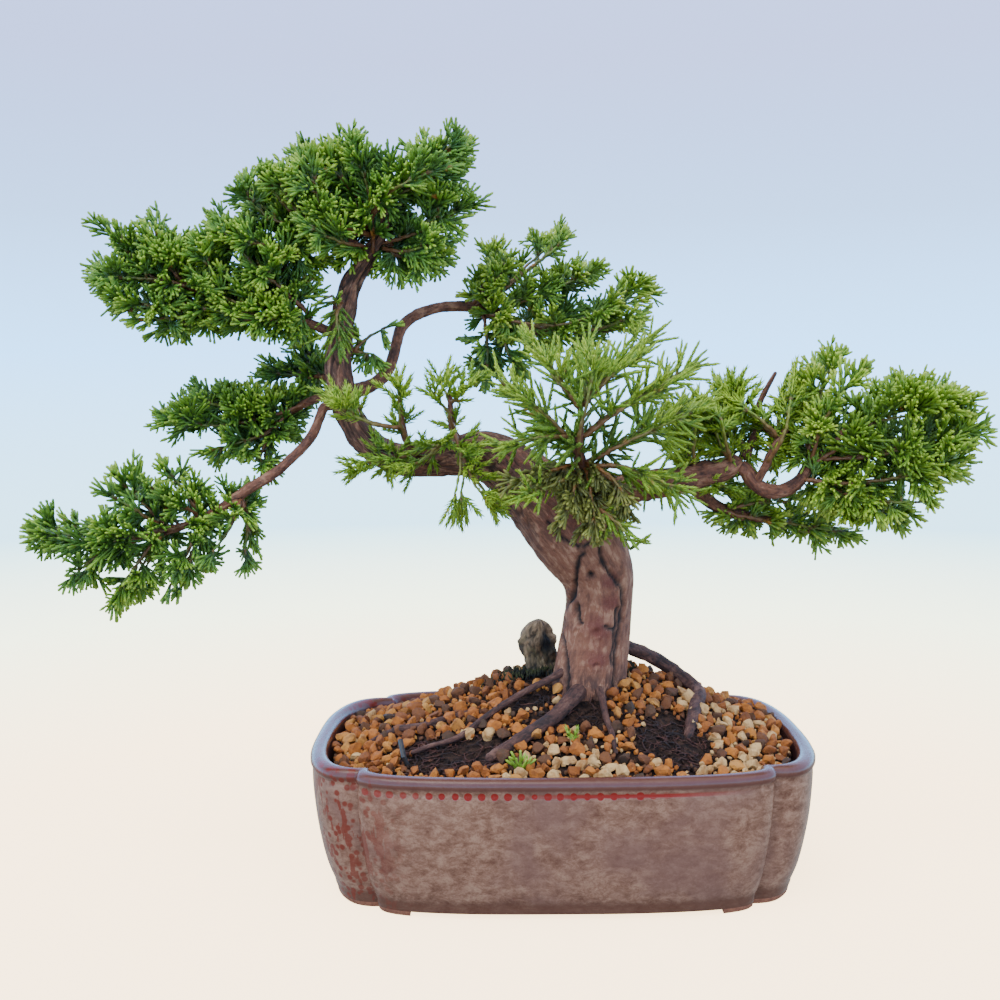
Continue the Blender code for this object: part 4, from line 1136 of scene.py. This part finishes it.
def grow_shoot(pad, random, base, tip, sprays, gap, thin):
    """A shoot from base to tip: a short woody foot, then side sprays left and right and one at its end.

    Side sprays stand about gap millimetres apart, and thin is the share of them left out.
    """
    reach = np.linalg.norm(tip - base)
    sag = unit(random.normal(size=3)) * reach * 0.07 + np.array([0, 0, reach * 0.05])
    share = np.linspace(0, 1, max(4, round(reach)))[:, None]
    spine = base * (1 - share) ** 2 + 2 * (base + (tip - base) * 0.5 + sag) * share * (1 - share) + tip * share ** 2
    along = share[:, 0] * reach
    end_length = min(13.5, max(4.5, reach * 0.85))
    stop = max(2, int(np.searchsorted(along, reach - end_length * 0.92)))
    tone = random.uniform(0, 1)
    leaf_start = 0.12 * reach
    woody = np.clip(0.8 - along[:stop + 1] / 3.0, 0.0, 1.0)
    stem = cord(spine[:stop + 1], np.linspace(0.55, 0.42, stop + 1), 0.05, 0.3)
    pad.add(stem, np.eye(3), 0.0, tone, np.concatenate([np.repeat(woody, 4), [woody[0], woody[-1]]]))
    forward = unit(spine[-1] - spine[stop])
    flat = unit(np.cross(forward, random.normal(size=3)))
    template, scale = pick_spray(random, sprays, end_length)
    pad.add(template, spray_turn(forward, flat, scale), spine[stop], tone, 0.0)
    side = random.choice([-1, 1])
    place = leaf_start + random.uniform(0, 1.0)
    while place < reach - end_length * 0.45:
        if random.uniform() > thin:
            i = min(int(place / reach * (len(spine) - 1)), len(spine) - 2)
            forward = unit(spine[i + 1] - spine[i])
            roll = random.uniform(-0.7, 0.7)
            normal = np.cross(forward, flat)
            out = side * (flat * math.cos(roll) + normal * math.sin(roll))
            angle = math.radians(random.uniform(24, 44))
            way = unit(forward * math.cos(angle) + out * math.sin(angle))
            length = min(12.0, (reach - place) * 0.7 + 4.2) * random.uniform(0.75, 1.2)
            template, scale = pick_spray(random, sprays, length)
            pad.add(template, spray_turn(way, flat + normal * random.uniform(-0.6, 0.6), scale), spine[i],
                    float(np.clip(tone + random.uniform(-0.25, 0.25), 0, 1)), 0.0)
            side = -side
        place += gap * random.uniform(0.75, 1.25)


def grow_pad(name, branches, seed, sprays, crowd=0.33, layers=(0.0, -0.55, 0.55), gap=2.7, thin=0.0, lift=0.3,
             material=None, slot="scale_foliage", piece_name=None):
    """One pad on a branch: its twigs, given as routes of (x, y, z, reach of their shoots), and the shoots.

    Crowd is the number of shoots to a millimetre of twig, and lift turns them upwards. The twigs fan
    out into layers in front of and behind the middle one, to the depth of the pad's CAD solid.
    """
    random = np.random.RandomState(seed)
    pad = Pad()
    low, high = (np.array(corner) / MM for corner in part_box("foliage_" + name))
    centre, half = (low + high) / 2, (high - low) / 2
    for layer in layers:
        for branch in branches:
            line = smooth_route(branch, 1.6)
            share = np.linspace(0, 1, len(line))
            line[:, 1] += layer * half[1] * share ** 0.6
            if layer:
                line[:, :3] += (centre - line[:, :3]) * (1, 0, 1) * (random.uniform(0.05, 0.22) * share)[:, None]
            tangents = unit(np.gradient(line[:, :3], axis=0))
            twig = line[:, :3] + random.normal(size=(len(line), 3)) * 0.12
            woody = np.clip(1.25 - 1.25 * share, 0.0, 1.0)
            pad.add(cord(twig, np.linspace(0.8, 0.4, len(line)), 0.1, 0.5), np.eye(3), 0.0, 0.5,
                    np.concatenate([np.repeat(woody, 4), [1.0, 0.0]]))
            length = 1.6 * len(line)
            for number in range(round(length * crowd) + 1):
                i = len(line) - 1 if number == 0 else int(len(line) * random.uniform(0.08, 1.0))
                base, reach = line[i, :3], line[i, 3]
                outward = (base - centre) / half
                way = unit(tangents[i] * (1.6 if number == 0 else 0.55) + outward * 0.75 + (0, 0, lift)
                           + unit(random.normal(size=3)) * (0.3 if number == 0 else 0.85))
                tip = np.clip(base + way * reach * random.uniform(0.7, 1.08), low + (-2.0, 3.0, -2.0),
                              high + (2.0, -3.0, 1.0))
                if np.linalg.norm(tip - base) > 3.5:
                    grow_shoot(pad, random, base, tip, sprays, gap, thin)
    shading = np.vstack(pad.shading)
    points = np.vstack(pad.points)
    # Growth is lowered towards the pad's middle, so the cords there take the darker greens: partly older growth,
    # partly painted shade inside the pad.
    outer_growth_and_light = np.clip(np.linalg.norm((points - centre) / half, axis=1) / 0.9, 0.0, 1.0)
    growth, tone, wood = shading.T
    piece = mesh_piece(piece_name or "foliage_of_" + name, points, np.vstack(pad.triangles), material,
                       {"growth": growth * (0.3 + 0.7 * outer_growth_and_light), "tone": tone, "wood": wood})
    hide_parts("foliage_" + name)


LEAF_COLOURS = ("Inner", "Middle", "Bright", "Tip", "Cool", "Woody", "Dry")
leaf_grain, given, made = start_group(
    "juniper leaf", dict(Place="Vector", Growth="Float", Tone="Float", Wood="Float")
    | {colour: "Color" for colour in LEAF_COLOURS}, dict(Color="Color", Height="Float"))
drift = noise_at(given["Place"], 55.0, 2.0)
fine = noise_at(given["Place"], 1400.0, 2.0)
# Low growth takes the Inner colour; in the pads this includes the painted shade towards their middle.
age = maths("MULTIPLY_ADD", maths("SUBTRACT", drift, 0.5), 0.7, given["Growth"])
green = mix_colour(value_ramp(age, 0.1, 0.52), given["Inner"], given["Middle"])
green = mix_colour(value_ramp(age, 0.5, 0.9), green, given["Bright"])
green = mix_colour(value_ramp(age, 0.84, 1.04), green, given["Tip"])
green = mix_colour(times(value_ramp(given["Tone"], 0.35, 0.95), 0.5), green, given["Cool"])
patches = value_ramp(noise_at(given["Place"], 130.0, 2.0), 0.66, 0.74)
dry = times(patches, value_ramp(given["Growth"], 0.8, 0.3))
green = mix_colour(dry, green, given["Dry"])
green = mix_colour(given["Wood"], green, given["Woody"])
green = mix_colour(times(value_ramp(fine, 0.35, 0.75), 0.35), green, (0.9, 0.95, 0.6), "SOFT_LIGHT")
link(green, made["Color"])
link(fine, made["Height"])


def leaf_material(name, *colours):
    """Green cords: dark where old and towards each pad's middle, which is older growth and painted shade; bright at
    the growing tips, brown where woody or dry.
    """
    material, shader = start_material(name, 0.5)
    values = dict(zip(LEAF_COLOURS, colours), Place=place_of(material))
    for socket in ("Growth", "Tone", "Wood"):
        values[socket] = stored(material, socket.lower())
    finish_with(shader, leaf_grain, 0.4, 0.0003, values)
    return material


scale_green = leaf_material("scale foliage", (0.020, 0.060, 0.007), (0.070, 0.185, 0.012), (0.175, 0.380, 0.022),
                            (0.330, 0.540, 0.050), (0.045, 0.160, 0.018), (0.20, 0.085, 0.04), (0.36, 0.15, 0.03))
fresh_green = leaf_material("fresh scale foliage", (0.045, 0.095, 0.010), (0.130, 0.270, 0.016), (0.280, 0.480, 0.032),
                            (0.440, 0.620, 0.075), (0.085, 0.230, 0.022), (0.22, 0.10, 0.05), (0.42, 0.20, 0.04))
young_green = leaf_material("young foliage", (0.075, 0.150, 0.012), (0.190, 0.350, 0.016), (0.370, 0.580, 0.034),
                            (0.530, 0.700, 0.080), (0.140, 0.330, 0.030), (0.22, 0.11, 0.05), (0.42, 0.22, 0.05))
old_green = leaf_material("old foliage", (0.060, 0.060, 0.012), (0.115, 0.130, 0.018), (0.190, 0.220, 0.032),
                          (0.270, 0.270, 0.055), (0.14, 0.15, 0.03), (0.28, 0.11, 0.03), (0.36, 0.17, 0.04))


# Twigs of each pad: points are x, y, z and the reach of the shoots there, in millimetres.
YOUNG = dict(material=young_green, slot="young_foliage")
SCALY = dict(material=scale_green)
FRESH = dict(material=fresh_green)
grow_pad("apex", [
    [(-40, 8, 197, 8), (-40, 8, 208, 11), (-42, 8, 220, 12), (-46, 8, 229, 9)],
    [(-40, 6, 204, 10), (-50, 2, 205, 11), (-57, -1, 209, 10), (-60, -2, 219, 11)],
    [(-41, 8, 212, 10), (-49, 6, 220, 12), (-57, 3, 226, 8)],
    [(-41, 8, 209, 10), (-32, 5, 217, 12), (-22, 3, 223, 12), (-14, 2, 228, 9)],
    [(-40, 10, 201, 9), (-31, 11, 202, 11), (-21, 12, 205, 11), (-14, 12, 212, 9)],
    [(-38, 8, 200, 8), (-30, 8, 197, 10), (-21, 8, 197, 8)],
    [(-42, 4, 206, 10), (-36, 0, 213, 11), (-28, -2, 217, 11), (-20, -2, 220, 9)],
    [(-42, 6, 200, 9), (-50, 2, 200, 10), (-57, 1, 203, 8)],
], seed=1, sprays=SCALE_SPRAYS, crowd=0.29, gap=3.1, **SCALY)
grow_pad("top_left_inner", [
    [(-54, 5, 204, 8), (-64, 4, 206, 11), (-73, 5, 211, 11), (-78, 5, 217, 8)],
    [(-60, 4, 205, 9), (-66, 4, 214, 10), (-70, 5, 222, 8)],
    [(-60, 5, 178, 8), (-68, 4, 186, 11), (-77, 4, 194, 12), (-85, 4, 204, 8)],
    [(-62, 5, 177, 8), (-74, 2, 180, 10), (-88, 1, 184, 10), (-91, 1, 196, 10)],
    [(-60, 5, 176, 7), (-72, 2, 177, 8), (-84, 0, 177, 8), (-92, 0, 178, 7)],
    [(-60, 4, 203, 10), (-66, 4, 197, 10), (-70, 4, 190, 9)],
    [(-56, 4, 205, 9), (-62, 2, 212, 11), (-65, 1, 220, 10)],
    [(-62, 4, 198, 9), (-74, 0, 200, 11), (-84, -2, 203, 9)],
], seed=2, sprays=SCALE_SPRAYS, **SCALY)
grow_pad("top_left_tip", [
    [(-87, -1, 182, 8), (-97, -3, 187, 10), (-108, -4, 189, 10), (-120, -2, 189, 9)],
    [(-97, -3, 186, 9), (-102, -2, 194, 10), (-106, -1, 202, 8)],
    [(-106, -4, 188, 9), (-113, -2, 196, 9), (-118, -1, 202, 7)],
    [(-92, -2, 183, 8), (-104, -2, 180, 9), (-116, -1, 180, 8)],
    [(-90, 0, 182, 8), (-98, 1, 177, 8), (-108, 2, 174, 6)],
], seed=3, sprays=SCALE_SPRAYS, **SCALY)
grow_pad("back_left", [
    [(-57, 17, 159, 6), (-64, 24, 159, 8), (-74, 28, 160, 8)],
    [(-62, 23, 159, 7), (-65, 26, 167, 7)],
    [(-62, 23, 159, 7), (-68, 27, 151, 6)],
], seed=4, sprays=SCALE_SPRAYS, **SCALY)
grow_pad("mid_left", [
    [(-64, 18, 150, 8), (-76, 20, 146, 10), (-92, 19, 143, 11), (-106, 18, 144, 9)],
    [(-69, 20, 148, 8), (-78, 20, 140, 9), (-93, 19, 135, 8)],
    [(-80, 19, 145, 9), (-90, 16, 150, 9), (-98, 14, 153, 7)],
    [(-76, 20, 141, 8), (-79, 20, 133, 7), (-78, 20, 129, 5)],
], seed=5, sprays=SCALE_SPRAYS, **SCALY)
grow_pad("lower_left", [
    [(-82, -5, 120, 7), (-94, -5, 114, 10), (-108, -5, 110, 12), (-126, -5, 107, 12), (-142, -5, 110, 10)],
    [(-82, -5, 120, 7), (-80, -6, 112, 8), (-81, -6, 104, 7)],
    [(-94, -5, 114, 8), (-99, -6, 121, 9), (-104, -6, 128, 7)],
    [(-105, -5, 110, 10), (-112, -7, 118, 10), (-118, -7, 124, 8)],
    [(-94, -5, 114, 8), (-97, -6, 104, 9), (-101, -7, 94, 8)],
    [(-107, -5, 110, 10), (-113, -4, 101, 10), (-119, -4, 92, 8)],
    [(-120, -5, 108, 9), (-129, -5, 101, 8), (-133, -5, 97, 6)],
], seed=6, sprays=SCALE_SPRAYS, crowd=0.22, lift=0.12, **SCALY)
grow_pad("upper_right", [
    [(-10, 33, 183, 6), (6, 38, 177, 9), (24, 43, 176, 11), (40, 44, 182, 10), (48, 45, 188, 8)],
    [(-9, 33, 183, 6), (0, 38, 188, 9), (10, 42, 197, 10), (20, 45, 206, 7)],
    [(-2, 36, 181, 8), (14, 42, 187, 10), (30, 44, 194, 9)],
    [(24, 43, 175, 9), (36, 44, 174, 9), (48, 45, 177, 7)],
    [(-9, 33, 183, 6), (-5, 36, 190, 7), (-1, 39, 198, 7)],
], seed=7, sprays=SCALE_SPRAYS, crowd=0.27, **FRESH)
grow_pad("upper_right_hanging", [
    [(-5, 35, 181, 6), (-4, 36, 172, 8), (-4, 36, 163, 8)],
    [(0, 36, 179, 6), (3, 36, 170, 7), (6, 36, 164, 6)],
], seed=8, sprays=SCALE_SPRAYS, lift=-0.5, crowd=0.25, **SCALY)
grow_pad("right", [
    [(99, -4, 129, 8), (106, -4, 135, 11), (116, -4, 143, 13), (128, -4, 146, 13), (138, -4, 148, 10)],
    [(96, -5, 125, 8), (108, -5, 123, 11), (124, -5, 124, 13), (140, -4, 127, 11)],
    [(101, -4, 131, 9), (116, -4, 132, 12), (130, -4, 135, 13), (142, -4, 138, 10)],
    [(99, -4, 130, 8), (99, -5, 142, 9), (102, -6, 152, 10), (106, -6, 160, 7)],
    [(104, -5, 122, 8), (116, -4, 117, 9), (130, -3, 114, 8)],
], seed=9, sprays=SCALE_SPRAYS, crowd=0.34, gap=3.1, **FRESH)
grow_pad("right_under", [
    [(71, 8, 115, 5), (80, 10, 112, 7), (97, 14, 109, 8), (114, 15, 106, 7)],
    [(74, 9, 114, 6), (82, 12, 117, 7), (92, 14, 118, 6)],
], seed=10, sprays=SCALE_SPRAYS, lift=0.0, **FRESH)
grow_pad("right_inner", [
    [(80, 3, 131, 6), (77, 8, 138, 9), (64, 8, 140, 9)],
    [(84, -8, 130, 6), (89, -10, 139, 8), (93, -4, 151, 9)],
    [(62, -1, 124, 6), (68, 4, 120, 8), (74, 8, 122, 7)],
    [(88, -9, 138, 8), (83, -6, 143, 9), (78, -2, 147, 8)],
    [(72, 8, 139, 7), (75, 8, 148, 8), (76, 8, 153, 6)],
    [(62, -2, 126, 7), (60, -4, 134, 9), (58, -5, 143, 8)],
    [(74, -5, 130, 7), (70, -9, 136, 9), (67, -10, 144, 8)],
], seed=11, sprays=NEEDLE_SPRAYS, crowd=0.42, gap=2.6, **YOUNG)
grow_pad("front_centre", [
    [(25, -27, 131, 7), (23, -33, 139, 10), (25, -34, 150, 11), (27, -32, 163, 9)],
    [(24, -30, 135, 7), (15, -31, 145, 10), (2, -32, 155, 8)],
    [(24, -32, 139, 8), (36, -32, 148, 11), (54, -30, 158, 9)],
    [(25, -27, 131, 7), (38, -28, 138, 11), (58, -28, 147, 9)],
    [(25, -27, 131, 7), (38, -29, 130, 10), (54, -29, 123, 8)],
    [(25, -26, 130, 6), (17, -28, 126, 8), (8, -29, 122, 7)],
    [(25, -34, 149, 9), (34, -32, 160, 10), (43, -30, 167, 7)],
    [(24, -34, 148, 9), (16, -33, 159, 9), (11, -32, 166, 7)],
    [(24, -31, 140, 8), (12, -32, 140, 9), (2, -31, 138, 7)],
    [(29, -31, 119, 6), (36, -31, 112, 5), (39, -31, 106, 5)],
], seed=12, sprays=AWL_SPRAYS, crowd=0.31, gap=3.3, lift=0.2, layers=(0.0, -0.4, 0.45), **YOUNG)
grow_pad("front_centre", [
    [(24, -27, 131, 6), (22, -31, 124, 7), (19, -33, 116, 6)],
    [(26, -27, 131, 6), (27, -31, 123, 7), (28, -33, 114, 6)],
    [(24, -28, 132, 6), (14, -31, 129, 6), (6, -31, 127, 5)],
    [(26, -29, 132, 6), (33, -32, 127, 7), (38, -33, 120, 5)],
], seed=22, sprays=SCALE_SPRAYS, crowd=0.42, lift=-0.5, layers=(0.0, -0.2), material=old_green,
   piece_name="old_shoots_at_the_fork")
grow_pad("front_left", [
    [(-29, -2, 138, 6), (-31, -4, 144, 9), (-31, -5, 151, 8)],
    [(-26, 1, 134, 6), (-34, -4, 132, 9), (-43, -6, 130, 9)],
    [(-30, -4, 142, 7), (-40, -6, 144, 9), (-50, -6, 149, 8)],
    [(-14, -4, 141, 6), (-15, -6, 149, 8), (-18, -7, 156, 7)],
    [(-15, -6, 150, 6), (-9, -6, 155, 6)],
    [(-14, -4, 141, 6), (-11, -7, 131, 9), (-12, -8, 120, 9)],
    [(-12, -6, 134, 7), (-6, -8, 124, 9), (0, -8, 117, 7)],
    [(-14, -4, 141, 6), (-20, -6, 135, 8), (-25, -7, 131, 7)],
], seed=13, sprays=NEEDLE_SPRAYS, crowd=0.22, gap=2.6, layers=(0.0, -0.5), **YOUNG)
grow_pad("trunk_spray", [
    [(-50, 3, 182, 5), (-51, -2, 178, 7), (-50, -4, 170, 7)],
    [(-50, 3, 180, 4), (-52, -3, 184, 4)],
], seed=14, sprays=AWL_SPRAYS, layers=(0.0, -0.2), crowd=0.4, lift=-0.6, material=fresh_green,
   slot="young_foliage")
grow_pad("leader_side", [
    [(-48, 9, 166, 5), (-43, 10, 171, 7), (-38, 10, 174, 7)],
    [(-48, 9, 167, 5), (-41, 9, 166, 6)],
], seed=15, sprays=SCALE_SPRAYS, layers=(0.0,), lift=-0.1, **SCALY)


# ---------------------------------------------------------------- sprigs on the gravel
# A few green tips have dropped from the tree or rooted in the gravel at the front of the pot.
# foot, direction of growth and the spray it is
SPRIGS = [
    ((5.6, -41.5, 41.5), (0.05, -0.2, 1.0), SCALE_SPRAYS[7.0][1]),
    ((6.6, -41.0, 41.8), (0.5, 0.0, 0.8), SCALE_SPRAYS[4.5][0]),
    ((4.8, -41.2, 41.8), (-0.5, 0.1, 0.9), SCALE_SPRAYS[4.5][2]),
    ((21.9, -30.0, 46.5), (0.2, -0.3, 1.0), NEEDLE_SPRAYS[5.0][0]),
    ((22.4, -29.5, 46.2), (-0.4, 0.1, 0.9), NEEDLE_SPRAYS[5.0][1]),
]
FLAT = np.array([1.0, 0.2, 0.0])
sprigs = Pad()
for foot, way, template in SPRIGS:
    sprigs.add(template, spray_turn(unit(np.array(way)), FLAT, 1.0), np.array(foot), 0.9, 0.0)
growth, tone, wood = np.vstack(sprigs.shading).T
fallen = mesh_piece("green_sprigs_on_gravel", np.vstack(sprigs.points), np.vstack(sprigs.triangles), young_green,
                    {"growth": growth, "tone": tone, "wood": wood})
